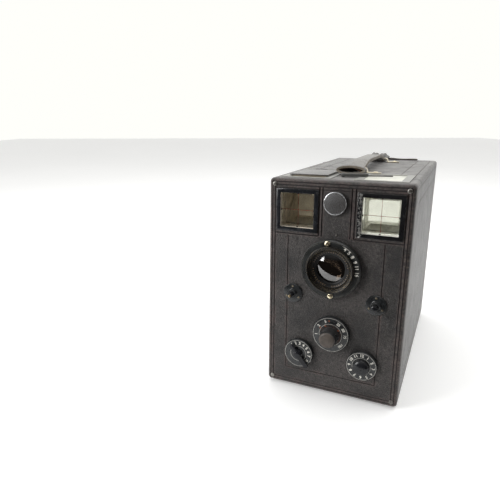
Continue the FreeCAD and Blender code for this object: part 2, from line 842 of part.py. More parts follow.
def build_lens():
    """Numbered flange, turning aperture ring, cell with two glasses, and the iris leaves.

    Gives back the two screws of the flange."""
    axis = ("lens_side", "0", "lens_up")
    flange = [
        ("flange_hole / 2", "0"),
        ("flange_dia / 2", "0"),
        ("flange_dia / 2", "flange_proud - 0.6"),
        ("flange_dia / 2 - 0.6", "flange_proud"),
        ("ring_dia / 2 + run_gap", "flange_proud"),
        ("ring_dia / 2 + run_gap", "flange_floor"),
        ("flange_hole / 2", "flange_floor"),
    ]
    keep(turned("lens_flange", flange, axis))
    screws = []
    for place_name, (turn, slot) in FLANGE_SCREWS.items():
        side, up = round_axis("lens_side", "lens_up", "flange_screw_ring", turn)
        spot = (side, "-flange_proud", up)
        name = f"flange_screw_{place_name}"
        screw = slotted_screw(name, "screw_dia", "screw_head", "flange_screw_shank", spot, "front", slot)
        screws.append(screw)
    ring = [
        ("ring_bore / 2", "flange_floor + 0.1"),
        ("ring_dia / 2", "flange_floor + 0.1"),
        ("ring_dia / 2", "ring_proud - 0.4"),
        ("ring_dia / 2 - 0.4", "ring_proud"),
        ("ring_lip / 2", "ring_proud"),
        ("ring_step / 2", "cell_proud + 1.2"),
        ("ring_bore / 2", "cell_proud + 0.8"),
    ]
    keep(turned("aperture_ring", ring, axis))
    cell = [
        ("barrel_in / 2", "-lens_barrel_long"),
        ("barrel_out / 2", "-lens_barrel_long"),
        ("barrel_out / 2", "flange_floor"),
        ("cell_dia / 2", "flange_floor"),
        ("cell_dia / 2", "cell_proud"),
        ("cell_mouth / 2", "cell_proud - 1.4"),
        ("front_lens / 2 + 0.05", "cell_proud - 1.8"),
        ("front_lens / 2 + 0.05", "-1"),
        ("barrel_in / 2", "-1"),
    ]
    keep(turned("lens_barrel", cell, axis))
    front_body = rod("front_lens_disc", "front_lens", "front_crown + 1", ("lens_side", "1", "lens_up"))
    front_centre = ("lens_side", "front_curve - front_crown", "lens_up")
    front_ball = ball("front_lens_ball", "front_curve", front_centre)
    keep(common("lens_front_glass", front_body, front_ball))
    rear_back = "lens_barrel_long - 0.4"
    rear_body = rod("rear_lens_disc", "rear_lens", "rear_thick", ("lens_side", rear_back, "lens_up"))
    rear_centre = ("lens_side", f"{rear_back} - rear_curve", "lens_up")
    rear_ball = ball("rear_lens_ball", "rear_curve", rear_centre)
    keep(common("lens_rear_glass", rear_body, rear_ball))
    leaves = []
    for index in range(int(number("leaf_count"))):
        turn = 360.0 * index / number("leaf_count")
        depth = f"leaf_depth + {index} * leaf_pitch"
        disc = rod(f"leaf_disc_{index}", "leaf_dia", "leaf_thick", ("lens_side", depth, "lens_up"))
        side, up = round_axis("lens_side", "lens_up", "-leaf_bite", turn)
        bite = rod(f"leaf_bite_{index}", "leaf_dia * 1.02", "leaf_thick + 1", (side, f"{depth} + 0.5", up))
        leaves.append(cut(f"leaf_{index}", disc, bite))
    keep(group("iris_leaves", leaves))
    return screws


def build_shutter():
    """Base plate with its arbor, and the disc whose slot passes the lens."""
    pivot = "(lens_up - disc_drop)"

    def draw(sketch):
        half = "plate_wide / 2"
        draw_oblong(sketch, (f"-{half}", "plate_low"), (half, "plate_low + plate_tall"))
        draw_circle(sketch, ("lens_side", "lens_up"), "barrel_out + 2 * fit_gap")
        for sign in SIDES.values():
            draw_circle(sketch, (f"{sign} * plunger_side", "plunger_up"), "plunger_tip + 2 * run_gap")
        for side, up in (("mode_side", "mode_up"), ("counter_side", "counter_up"), ("0", "speed_up")):
            draw_circle(sketch, (side, up), "shaft_dia + 2 * run_gap")

    board_back = "(skin + board)"
    plate = prism("shutter_sheet", draw, "plate_thick", ("0", f"{board_back} + plate_thick", "0"), "front")
    arbor_long = f"disc_back + disc_thick + 2 - {board_back}"
    arbor = rod("arbor", "arbor_dia", arbor_long, ("lens_side", board_back, pivot), "back")
    keep(fuse("shutter_plate", [plate, arbor]))

    def draw_disc(sketch):
        draw_circle(sketch, ("0", "0"), "disc_dia")
        draw_circle(sketch, ("0", "0"), "arbor_dia + 2 * run_gap")
        draw_circle(sketch, ("0", "disc_drop - 0.5"), "disc_slot * 0.9")

    disc_at = ("lens_side", "disc_back + disc_thick", pivot)
    keep(prism("shutter_disc", draw_disc, "disc_thick", disc_at, "front"))


# ---------------------------------------------------------------- controls on the front


def dial(name, side, up, dia):
    """A low turned dial plate with a bevelled edge and a bore for its shaft."""
    profile = [
        ("shaft_dia / 2 + run_gap", "0"),
        (f"{dia} / 2", "0"),
        (f"{dia} / 2", "dial_proud - 0.7"),
        (f"{dia} / 2 - 0.7", "dial_proud"),
        ("shaft_dia / 2 + run_gap", "dial_proud"),
    ]
    return keep(turned(name, profile, (side, "0", up)))


def knob_profile(dia, proud):
    """Profile of a round knob with its shaft, from the shaft's inner end forward."""
    return [
        ("0", "-shaft_back"),
        ("shaft_dia / 2", "-shaft_back"),
        ("shaft_dia / 2", "dial_proud + 0.3"),
        (f"{dia} / 2", "dial_proud + 0.3"),
        (f"{dia} / 2", f"{proud} - 1.2"),
        (f"{dia} / 2 - 1.2", proud),
        ("0", proud),
    ]


def build_controls():
    """Three dials and what turns on them, the round button, and the two plungers."""
    dial("speed_dial", "0", "speed_up", "speed_dial_dia")
    keep(turned("speed_knob", knob_profile("speed_knob_dia", "speed_knob_proud"), ("0", "0", "speed_up")))
    dial("mode_dial", "mode_side", "mode_up", "side_dial")
    boss_profile = knob_profile("lever_boss", "lever_proud")
    boss = turned("lever_boss_body", boss_profile, ("mode_side", "0", "mode_up"))
    bar = doc.addObject("Part::Box", "lever_bar")
    bind(bar, "Length", "lever_long + lever_short")
    bind(bar, "Width", "lever_wide")
    bind(bar, "Height", "lever_thick")
    turn = TURNS["front"].multiply(FreeCAD.Rotation(FreeCAD.Vector(0, 0, 1), number("lever_turn")))
    step = turn.multVec(FreeCAD.Vector(-number("lever_short"), -number("lever_wide") / 2, 0))
    bar_low = (f"mode_side + {step.x:.6f}", "-dial_proud - lever_lift", f"mode_up + {step.z:.6f}")
    place(bar, bar_low, "front", number("lever_turn"))
    keep(fuse("mode_lever", [boss, bar]))
    dial("counter_dial", "counter_side", "counter_up", "side_dial")
    dome = knob_profile("counter_knob_dia", "counter_knob_proud")
    dome[-2:] = [("counter_knob_dia / 2 - 3.4", "counter_knob_proud - 0.2"), ("0", "counter_knob_proud")]
    dome[-3] = ("counter_knob_dia / 2", "counter_knob_proud - 2.6")
    keep(turned("counter_knob", dome, ("counter_side", "0", "counter_up")))
    button = [
        ("0", "-shaft_back"),
        ("button_stem / 2", "-shaft_back"),
        ("button_stem / 2", "button_travel + 0.1"),
        ("button_dia / 2", "button_travel + 0.1"),
        ("button_dia / 2", "button_proud - 0.5"),
        ("button_dia / 2 - 0.7", "button_proud"),
        ("0", "button_proud - 0.5"),
    ]
    keep(turned("push_button", button, ("button_side", "0", "button_up")))
    screws = []
    for index, (side, sign) in enumerate(SIDES.items()):
        name = ("release", "time")[index]
        at = (f"{sign} * plunger_side", "0", "plunger_up")
        guide = [
            ("plunger_dia / 2 + run_gap", "0"),
            ("guide_dia / 2", "0"),
            ("guide_dia / 2", "guide_thick"),
            ("guide_tube / 2", "guide_thick"),
            ("guide_tube / 2", "guide_tube_proud"),
            ("plunger_dia / 2 + run_gap", "guide_tube_proud"),
        ]
        keep(turned(f"{name}_guide", guide, at))
        for turn in GUIDE_SCREW_TURNS:
            across, up = round_axis(at[0], "plunger_up", "guide_screw_ring / 2", turn)
            spot = (across, "-guide_thick", up)
            screw = slotted_screw(f"{name}_screw_{turn}", "guide_screw_dia", "small_head",
                                  "small_shank", spot, "front", turn)
            screws.append(screw)
    keep(group("guide_screws", screws))
    release = [
        ("0", "-shaft_back"),
        ("plunger_tip / 2", "-shaft_back"),
        ("plunger_tip / 2", "-1"),
        ("plunger_dia / 2", "-1"),
        ("plunger_dia / 2", "release_proud - 2.4"),
        ("plunger_tip / 2", "release_proud - 2.4"),
        ("plunger_tip / 2", "release_proud - 0.4"),
        ("plunger_tip / 2 - 0.4", "release_proud"),
        ("0", "release_proud"),
    ]
    keep(turned("release_plunger", release, ("-plunger_side", "0", "plunger_up")))
    time = release[:4] + [
        ("plunger_dia / 2", "guide_tube_proud + plunger_travel + 0.2"),
        ("time_cap / 2", "guide_tube_proud + plunger_travel + 0.2"),
        ("time_cap / 2", "time_proud - 0.9"),
        ("time_cap / 2 - 0.9", "time_proud"),
        ("0", "time_proud"),
    ]
    keep(turned("time_plunger", time, ("plunger_side", "0", "plunger_up")))
    for name, sign in (("release", -1), ("time", 1)):
        coils = []
        for index in range(int(number("spring_turns"))):
            ring = doc.addObject("Part::Torus", f"{name}_coil_{index}")
            bind(ring, "Radius1", "(spring_dia - spring_wire) / 2")
            bind(ring, "Radius2", "spring_wire / 2")
            depth = f"spring_front + {index} * spring_pitch"
            place(ring, (f"{sign} * plunger_side", depth, "plunger_up"), "front")
            coils.append(ring)
        keep(group(f"{name}_spring", coils))


# ---------------------------------------------------------------- handle


def build_handle():
    """Flat leather strap with thick ends, under two bridge plates screwed to the top."""
    body = new_body("strap_middle", ("strap_side + strap_wide / 2", "0", "body_tall"), "left")
    sketch = new_sketch(body, "strap_side_view")
    # the body faces left, so its own x is up and its own y is the camera's front to back
    flat_front = "bridge_front + 6"
    flat_rear = "bridge_rear - 6"
    low = [
        ("strap_flat", "strap_front + 3"),
        ("strap_flat", flat_front),
        ("strap_rise", f"{flat_front} + strap_slope"),
        ("strap_rise", f"{flat_rear} - strap_slope"),
        ("strap_flat", flat_rear),
        ("strap_flat", "strap_rear - 3"),
    ]
    high = [(f"{up} + strap_thick", back) for up, back in reversed(low)]
    draw_outline(sketch, low + high)
    pad(body, sketch, "strap_wide")
    ends = []
    for name, back in (("front", "strap_front"), ("rear", "strap_rear - strap_end_long")):
        low = ("strap_side - strap_end_wide / 2", back, "body_tall + strap_end_lift")
        outer = block(f"strap_end_{name}", low, ("strap_end_wide", "strap_end_long", "strap_end_tall"))
        ends.append(outer)
    keep(fuse("handle_strap", [body] + ends))
    bridges = []
    screws = []
    for name in ("front", "rear"):
        centre = f"bridge_{name}"

        def draw(sketch):
            foot = "bridge_arch / 2 + bridge_thick"
            arch = "bridge_arch / 2"
            under = "bridge_tall - bridge_thick"
            draw_outline(sketch, [
                ("-bridge_long / 2", "0"), ("-bridge_long / 2", "bridge_thick"),
                (f"-({foot})", "bridge_thick"), (f"-({foot})", "bridge_tall"),
                (foot, "bridge_tall"), (foot, "bridge_thick"),
                ("bridge_long / 2", "bridge_thick"), ("bridge_long / 2", "0"),
                (arch, "0"), (arch, under), (f"-({arch})", under), (f"-({arch})", "0"),
            ])

        at = ("strap_side", f"{centre} + bridge_wide / 2", "body_tall")
        bridges.append(prism(f"bridge_{name}_plate", draw, "bridge_wide", at, "front"))
        for side, sign in SIDES.items():
            across = f"strap_side + {sign} * (bridge_long / 2 - bridge_screw_inset)"
            spot = (across, centre, "body_tall + bridge_thick")
            screw_name = f"bridge_{name}_{side}"
            slot = BRIDGE_SLOT * sign
            screw = slotted_screw(screw_name, "bridge_screw", "bridge_head", "bridge_shank", spot, "up", slot)
            screws.append(screw)
    keep(group("handle_bridges", bridges))
    keep(group("bridge_screws", screws))


# ---------------------------------------------------------------- rear door


def build_door():
    """Door hinged at the foot, its leather, hinge, pull tab, and the spring plate inside."""
    wide = "(body_wide / 2 - skin)"
    tall = "(body_tall / 2 - skin)"
    door = new_body("rear_door", ("0", "body_deep - skin", "body_tall / 2"), "front")
    sketch = new_sketch(door, "rear_door_board")
    draw_oblong(sketch, (f"-{wide}", f"-{tall}"), (wide, tall))
    pad(door, sketch, "board")
    dress(door, "Fillet", "corner_round", long_edges(door, wide, tall))
    keep(door)
    cover = new_body("rear_door_cover", ("0", "body_deep", "body_tall / 2"), "front")
    half_wide = "body_wide / 2"
    half_tall = "body_tall / 2"
    face = new_sketch(cover, "rear_cover_face")
    draw_oblong(face, (f"-{half_wide}", f"-{half_tall}"), (half_wide, half_tall))
    pad(cover, face, "skin")
    edge = new_sketch(cover, "rear_cover_edge", "XY_Plane", "skin")
    draw_oblong(edge, (f"-{half_wide}", f"-{half_tall}"), (half_wide, half_tall))
    draw_oblong(edge, (f"-{wide}", f"-{tall}"), (wide, tall))
    pad(cover, edge, "board")
    dress(cover, "Fillet", "corner_round", long_edges(cover, wide, tall))
    dress(cover, "Fillet", "corner_round + skin", long_edges(cover, half_wide, half_tall))
    keep(cover)
    tab_low = ("0", "body_deep - strap_tab_wide", "body_tall")
    keep(block("door_strap", tab_low, ("strap_tab_long", "strap_tab_wide", "strap_tab_thick")))
    axis = ("body_deep + hinge_out", "hinge_up")
    case_start = "-hinge_middle / 2"
    outer = rod("case_knuckle", "hinge_dia", "hinge_middle", (case_start, axis[0], axis[1]), "right")
    leaf = block("case_leaf", (case_start, "body_deep - hinge_leaf_deep", "-hinge_leaf"),
                 ("hinge_middle", "hinge_leaf_deep + hinge_out", "hinge_leaf"))
    pin = rod("hinge_pin", "hinge_pin", "hinge_long", ("-hinge_long / 2", axis[0], axis[1]), "right")
    keep(fuse("case_hinge", [outer, leaf, pin]))
    leaves = []
    reach = "(hinge_long / 2 - hinge_middle / 2 - 0.3)"
    for side, start in (("left", "-hinge_long / 2"), ("right", "hinge_middle / 2 + 0.3")):
        spot = (start, axis[0], axis[1])
        knuckle_body = rod(f"door_knuckle_{side}", "hinge_dia", reach, spot, "right")
        plate = block(f"door_plate_{side}", (start, "body_deep", "hinge_up"),
                      (reach, "hinge_leaf", "hinge_leaf_tall"))
        bore = rod(f"door_bore_{side}", "hinge_pin + 2 * run_gap", reach, spot, "right")
        leaves.append(cut(f"door_leaf_{side}", fuse(f"door_half_{side}", [knuckle_body, plate]), bore))
    keep(group("door_hinge", leaves))


# ---------------------------------------------------------------- plate magazine


def build_magazine():
    """Shelf and rails, the stack of sheaths, the spring plate and the changing lever."""
    inner = "(body_wide / 2 - skin - wall)"
    rear = "(body_deep - board - skin)"
    shelf = block("shelf", (f"-{inner}", "stack_front", "shelf_top - shelf_thick"),
                  (f"2 * {inner}", f"{rear} - stack_front", "shelf_thick"))
    rail = "(sheath_wide / 2 + sheath_room)"
    rail_front = "(stack_front + 3)"
    rails = []
    for side, sign in SIDES.items():
        low_x = f"-{inner}" if sign < 0 else rail
        rails.append(block(f"rail_{side}", (low_x, rail_front, "shelf_top - 1"),
                           (f"{inner} - {rail}", f"{rear} - {rail_front}", "sheath_tall")))
    keep(fuse("magazine_frame", [shelf] + rails))
    low_x = "-sheath_wide / 2"
    sheath = ("sheath_wide", "sheath_thick", "sheath_tall")
    keep(block("front_sheath", (low_x, "stack_front", "shelf_top"), sheath))
    stack = []
    for index in range(int(number("sheath_count"))):
        low = (low_x, f"stack_front + {index + 1} * sheath_pitch", "shelf_top")
        stack.append(block(f"sheath_{index}", low, sheath))
    keep(group("plate_sheaths", stack))
    press_y = "(stack_front + (sheath_count + 1) * sheath_pitch + 0.1)"
    press_size = ("sheath_wide", "press_thick", "sheath_tall - 2")
    keep(block("pressure_plate", (low_x, press_y, "shelf_top + 1"), press_size))
    spring = new_body("pressure_spring", ("press_spring_wide / 2", "0", "0"), "left")
    sketch = new_sketch(spring, "spring_bow")
    plate = f"({press_y} + press_thick)"
    centre = "(shelf_top + sheath_tall / 2)"
    bow = [
        (f"{centre} - press_spring_half", f"{rear} - 0.6"),
        (f"{centre} - press_spring_flat", f"{plate} + 0.1"),
        (f"{centre} + press_spring_flat", f"{plate} + 0.1"),
        (f"{centre} + press_spring_half", f"{rear} - 0.6"),
    ]
    back = [(up, f"{deep} + press_spring_thick") for up, deep in reversed(bow)]
    draw_outline(sketch, bow + back)
    pad(spring, sketch, "press_spring_wide")
    keep(spring)
    wall_out = "(-body_wide / 2)"
    pivot = (wall_out, "change_back", "change_up")
    shaft = rod("change_shaft_bar", "change_shaft", "skin + wall + 1 + change_finger_reach", pivot, "right")
    boss = rod("change_boss", "change_shaft + 5", "change_boss_proud", pivot, "left")
    arm_low = (f"{wall_out} - change_boss_proud", "change_back - change_lever_wide / 2", "change_up")
    arm = block("change_arm", arm_low, ("change_lever_thick", "change_lever_wide", "change_lever_long"))
    finger_low = (f"{wall_out} + skin + wall + 1", "change_back - change_finger_thick / 2",
                  "change_up - change_finger_long")
    finger_size = ("change_finger_reach", "change_finger_thick", "change_finger_long")
    finger = block("change_finger", finger_low, finger_size)
    keep(fuse("changing_lever", [shaft, boss, arm, finger]))


# ---------------------------------------------------------------- check and write


def faults():
    """Names of the objects that did not compute."""
    bad = [item.Label for item in doc.Objects if {"Invalid", "Error"} & set(item.State)]
    bad += [item.Label for item in pieces if item.Shape.isNull() or not item.Shape.isValid()]
    return bad


front_screws = build_case()
build_finders()
build_arm()
front_screws += build_lens()
keep(group("front_screws", front_screws))
build_shutter()
build_controls()
build_handle()
build_door()
build_magazine()
doc.recompute()
if faults():
    raise RuntimeError(f"not built: {faults()}")
os.makedirs("parts", exist_ok=True)
for item in pieces:
    item.Shape.exportStep(f"parts/{item.Label}.step")
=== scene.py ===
"""A leather-covered box camera for glass plates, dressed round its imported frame.

Each sub-assembly is a class that takes its places and sizes from the frame and builds the
pieces that are seen: leather, strap, finders, lens, dials and plungers. Metres throughout.
"""

import json
import logging
import math
from collections.abc import Callable, Iterator, Sequence
from contextlib import contextmanager
from dataclasses import dataclass, field
from enum import Enum

import bmesh
import bpy
from mathutils import Matrix, Vector


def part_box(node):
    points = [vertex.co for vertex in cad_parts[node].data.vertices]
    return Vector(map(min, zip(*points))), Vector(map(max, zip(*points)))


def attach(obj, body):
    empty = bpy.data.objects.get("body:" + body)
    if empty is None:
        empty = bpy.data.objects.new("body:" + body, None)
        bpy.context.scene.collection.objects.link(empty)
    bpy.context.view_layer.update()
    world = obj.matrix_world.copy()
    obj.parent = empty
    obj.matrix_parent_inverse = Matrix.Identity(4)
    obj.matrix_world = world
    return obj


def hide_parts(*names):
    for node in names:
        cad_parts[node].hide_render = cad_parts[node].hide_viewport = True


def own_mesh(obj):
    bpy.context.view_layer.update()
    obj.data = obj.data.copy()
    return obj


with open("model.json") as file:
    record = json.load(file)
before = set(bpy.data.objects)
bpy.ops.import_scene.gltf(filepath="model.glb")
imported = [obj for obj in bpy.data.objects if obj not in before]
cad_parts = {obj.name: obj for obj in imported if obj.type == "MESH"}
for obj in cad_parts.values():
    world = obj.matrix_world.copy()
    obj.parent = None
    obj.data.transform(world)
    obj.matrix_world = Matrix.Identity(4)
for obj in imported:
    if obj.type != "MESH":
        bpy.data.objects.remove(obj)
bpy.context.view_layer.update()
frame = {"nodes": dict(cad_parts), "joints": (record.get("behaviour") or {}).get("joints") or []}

LOG = logging.getLogger("box_camera")
MM = 0.001
ROUND_SIDES = 96
FINE_ANGLE = math.radians(32)
Colour = tuple[float, float, float]
Pair = tuple[float, float]
Piece = bpy.types.Object
Material = bpy.types.Material
Socket = bpy.types.NodeSocket
SIDES = ("left", "right")


class Facing(Enum):
    """The way a piece's own +Z points once it is in place."""

    UP = Matrix.Identity(4)
    FRONT = Matrix.Rotation(math.radians(90), 4, "X")
    BACK = Matrix.Rotation(math.radians(-90), 4, "X")
    RIGHT = Matrix.Rotation(math.radians(90), 4, "Y")


class Slot(Enum):
    """Material slots of the record."""

    LEATHER = "case_leather"
    STRAP = "strap_leather"
    BLACK = "black_metal"
    GUN = "gun_metal"
    NICKEL = "nickel"
    BRASS = "brass"
    STEEL = "spring_steel"
    GLASS = "clear_glass"
    SCREEN = "ground_glass"


@dataclass(frozen=True)
class Span:
    """The box that a CAD node fills."""

    low: Vector
    high: Vector

    @classmethod
    def of(cls, node: str) -> "Span":
        """Span of one node of the frame."""
        return cls(*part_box(node))

    @property
    def middle(self) -> Vector:
        """Centre of the box."""
        return (self.low + self.high) / 2

    @property
    def size(self) -> Vector:
        """Lengths of the box's sides."""
        return self.high - self.low

    def at(self, depth: float) -> Vector:
        """The middle of the box, brought to a place on the Y axis."""
        return Vector((self.middle.x, depth, self.middle.z))


# ---- bench


def alone(piece: Piece) -> None:
    """Make one object the selected and active one.

    Args:
        piece: The object to select.
    """
    for other in list(bpy.context.selected_objects):
        other.select_set(False)
    piece.select_set(True)
    bpy.context.view_layer.objects.active = piece


@contextmanager
def editing(piece: Piece) -> Iterator[None]:
    """Edit mode on one object, with everything in it selected.

    Args:
        piece: The object to edit.

    Yields:
        Nothing, while edit mode lasts.
    """
    alone(piece)
    bpy.ops.object.mode_set(mode="EDIT")
    bpy.ops.mesh.select_mode(type="VERT")
    bpy.ops.mesh.select_all(action="SELECT")
    yield
    bpy.ops.object.mode_set(mode="OBJECT")


def pick(piece: Piece, kind: str, wanted: Callable[[Vector, Vector], bool]) -> int:
    """Select the faces or edges that pass a test, in edit mode.

    Args:
        piece: The object in edit mode.
        kind: FACE or EDGE.
        wanted: Takes the middle and the normal of a face, or the middle and direction of an edge.

    Returns:
        How many were selected.
    """
    bpy.ops.mesh.select_mode(type=kind)
    bpy.ops.mesh.select_all(action="DESELECT")
    mesh = bmesh.from_edit_mesh(piece.data)
    count = 0
    for part in mesh.faces if kind == "FACE" else mesh.edges:
        if kind == "FACE":
            chosen = wanted(part.calc_center_median(), part.normal)
        else:
            start, end = (corner.co for corner in part.verts)
            chosen = wanted((start + end) / 2, (end - start).normalized())
        if chosen:
            part.select_set(True)
            count += 1
    bmesh.update_edit_mesh(piece.data)
    return count


def extrude(move: Sequence[float]) -> None:
    """Extrude what is selected, in edit mode."""
    bpy.ops.mesh.extrude_region_move(TRANSFORM_OT_translate={"value": tuple(move)})


def about_z(angle: float) -> Matrix:
    """A turn about Z in degrees."""
    return Matrix.Rotation(math.radians(angle), 4, "Z")


def spot_round(centre: Vector, radius: float, angle: float) -> Vector:
    """A point on an upright circle that faces the front. Millimetres and degrees."""
    turned = math.radians(angle)
    return centre + Vector((radius * MM * math.cos(turned), 0, radius * MM * math.sin(turned)))


def named(name: str) -> Piece:
    """Name the object that an operator has just added.

    Args:
        name: Name of the object and its mesh.

    Returns:
        The object.
    """
    piece = bpy.context.object
    piece.name = name
    piece.data.name = name
    return piece


def settle(piece: Piece, place: Matrix = Matrix.Identity(4)) -> Piece:
    """Move an object, and then leave its place in its mesh.

    Args:
        piece: The object.
        place: Where it goes from where it is.

    Returns:
        The same object.
    """
    alone(piece)
    piece.matrix_world = place @ piece.matrix_world
    bpy.ops.object.transform_apply(location=True, rotation=True, scale=True)
    return piece


def put(piece: Piece, spot: Vector, facing: Facing = Facing.UP) -> Piece:
    """Stand a piece that was made about the origin at its spot, facing its way."""
    return settle(piece, Matrix.Translation(spot) @ facing.value)


def finish_with(piece: Piece, kind: str, **settings: object) -> Piece:
    """Give a piece one modifier and apply it.

    Args:
        piece: The object.
        kind: The modifier's type.
        **settings: Its properties.

    Returns:
        The same object.
    """
    alone(piece)
    modifier = piece.modifiers.new(kind.title(), kind)
    for prop, value in settings.items():
        setattr(modifier, prop, value)
    bpy.ops.object.modifier_apply(modifier=modifier.name)
    return piece


def soften(piece: Piece, width: float, segments: int = 2, angle: float = 35) -> Piece:
    """Round every edge that is sharper than an angle in degrees.

    Args:
        piece: The object.
        width: Width of the bevel in metres.
        segments: Steps across it.
        angle: Least angle between faces in degrees.

    Returns:
        The same object.
    """
    return finish_with(piece, "BEVEL", width=width, segments=segments, limit_method="ANGLE",
                       angle_limit=math.radians(angle), harden_normals=False)


def smooth(piece: Piece) -> Piece:
    """Shade a piece smooth, apart from its sharp edges.

    Args:
        piece: The object.

    Returns:
        The same object.
    """
    alone(piece)
    bpy.ops.object.shade_smooth_by_angle(angle=FINE_ANGLE)
    return piece


def tidy(piece: Piece, near: float = 0.001 * MM) -> Piece:
    """Merge doubled points and point every face outwards.

    Args:
        piece: The object.
        near: Points closer than this in metres are merged.

    Returns:
        The same object.
    """
    with editing(piece):
        bpy.ops.mesh.remove_doubles(threshold=near)
        bpy.ops.mesh.normals_make_consistent(inside=False)
    return piece


def join(name: str, members: Sequence[Piece]) -> Piece:
    """Several objects made one object with separate shells.

    Args:
        name: Name of the result.
        members: Objects to join.

    Returns:
        The joined object.
    """
    alone(members[0])
    for member in members[1:]:
        member.select_set(True)
    if len(members) > 1:
        bpy.ops.object.join()
    return named(name)


def copy_of(piece: Piece, place: Matrix) -> Piece:
    """A copy with its own mesh, moved.

    Args:
        piece: The pattern.
        place: Where the copy goes.

    Returns:
        The copy.
    """
    alone(piece)
    bpy.ops.object.duplicate(linked=False)
    return settle(bpy.context.object, place)


def scrap(piece: Piece) -> None:
    """Delete a tool or a pattern piece."""
    bpy.data.objects.remove(piece, do_unlink=True)


def block(name: str, low: Sequence[float], high: Sequence[float]) -> Piece:
    """A cube primitive brought to two corners, as a start for other work.

    Args:
        name: Name of the block.
        low: Low corner in metres.
        high: High corner in metres.

    Returns:
        The block.
    """
    bpy.ops.mesh.primitive_cube_add(size=1)
    piece = named(name)
    size = Vector(high) - Vector(low)
    return settle(piece, Matrix.Translation((Vector(low) + Vector(high)) / 2) @ Matrix.Diagonal((*size, 1)))


def carve(piece: Piece, tool: Piece, operation: str = "DIFFERENCE") -> Piece:
    """Cut one piece with another, or weld them, and scrap the tool.

    Args:
        piece: The object that stays.
        tool: The object that is used up.
        operation: DIFFERENCE or UNION.

    Returns:
        The same piece.
    """
    finish_with(piece, "BOOLEAN", object=tool, operation=operation, solver="EXACT", use_self=True)
    scrap(tool)
    return piece


def turn(name: str, profile: Sequence[Pair], ring: bool = False, sides: int = ROUND_SIDES) -> Piece:
    """Turn a piece about Z: a circle, extruded and resized from point to point.

    Args:
        name: The piece's name.
        profile: Radius and height of each ring, in millimetres. A solid starts at its foot.
        ring: The profile is a closed loop round a hole.
        sides: Number of sides of the circle.

    Returns:
        The turned piece, about the origin.
    """
    radius, height = profile[0]
    bpy.ops.mesh.primitive_circle_add(vertices=sides, radius=radius * MM,
                                      fill_type="NOTHING" if ring else "NGON")
    piece = named(name)
    with editing(piece):
        bpy.ops.transform.translate(value=(0, 0, height * MM))
        for new_radius, new_height in profile[1:]:
            extrude((0, 0, (new_height - height) * MM))
            scale = new_radius / radius
            bpy.ops.transform.resize(value=(scale, scale, 1), center_override=(0, 0, new_height * MM))
            radius, height = new_radius, new_height
        if ring:
            bpy.ops.mesh.select_mode(type="EDGE")
            bpy.ops.mesh.select_all(action="DESELECT")
            bpy.ops.mesh.select_non_manifold()
            bpy.ops.mesh.bridge_edge_loops()
    return tidy(piece)


def rim(radius: float, width: float, height: float, sides: int = ROUND_SIDES) -> Piece:
    """A thin flat ring about the origin, sizes in millimetres."""
    inner, outer = radius - width / 2, radius + width / 2
    return turn("rim", [(inner, 0), (outer, 0), (outer, height), (inner, height)], True, sides)


def bar(start: Vector, end: Vector, out: Vector, width: float, depth: float) -> Piece:
    """A diamond-section bar along a line, which cuts a groove or stands as a ridge.

    Args:
        start: One end of its axis.
        end: The other end.
        out: The outward normal of the surface it lies on.
        width: Width across the surface.
        depth: Half its height.

    Returns:
        The bar.
    """
    bpy.ops.mesh.primitive_cylinder_add(vertices=4, radius=1, depth=1)
    piece = named("bar")
    along = end - start
    across = along.normalized().cross(out)
    columns = (across * width / 2, out * depth, along)
    place = Matrix.Translation((start + end) / 2) @ Matrix(columns).transposed().to_4x4()
    settle(piece, place)
    return tidy(piece)


def numeral(text: str, height: float, radius: float, angle: float) -> Piece:
    """A raised number that stands at a place round the origin, with its head outwards.

    Args:
        text: Digits.
        height: Height of a digit in millimetres.
        radius: Distance of its middle from the origin in millimetres.
        angle: Degrees from +X.

    Returns:
        The number as a mesh.
    """
    bpy.ops.object.text_add()
    piece = bpy.context.object
    piece.data.body = text
    piece.data.align_x = "CENTER"
    piece.data.align_y = "CENTER"
    piece.data.size = height * MM / 0.7
    piece.data.extrude = 0.03 * MM
    piece.data.offset = 0.035 * height * MM
    piece.data.resolution_u = 3
    bpy.ops.object.convert(target="MESH")
    turned = about_z(angle - 90) @ Matrix.Translation((0, radius * MM, 0))
    settle(piece, turned)
    return tidy(piece)


def dress(piece: Piece, *finishes: Material, index: int = 0) -> None:
    """Give a piece its materials, with every face on one of them.

    Args:
        piece: The object.
        *finishes: Its materials, in slot order.
        index: The slot that every face takes.
    """
    piece.data.materials.clear()
    for finish in finishes:
        piece.data.materials.append(finish)
    for face in piece.data.polygons:
        face.material_index = index


def paint_where(piece: Piece, wanted: Callable[[bpy.types.MeshPolygon], bool]) -> None:
    """Put the second material on the faces that pass a test."""
    for face in piece.data.polygons:
        face.material_index = int(wanted(face))


def hand_over(piece: Piece, finish: Material | None, body: str, slot: Slot,
              *stands_for: str) -> Piece:
    """Dress a finished piece and fasten it to its body.

    Args:
        piece: The piece, in place.
        finish: Its material, or None when it is dressed already.
        body: The CAD body it moves with.
        slot: The record's material slot; not used.
        *stands_for: CAD nodes that it replaces.

    Returns:
        The piece.
    """
    smooth(piece)
    if finish is not None:
        dress(piece, finish)
    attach(piece, body)
    if stands_for:
        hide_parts(*stands_for)
    LOG.info("%s: %d faces, on %s", piece.name, len(piece.data.polygons), body)
    return piece


# ---- finishes


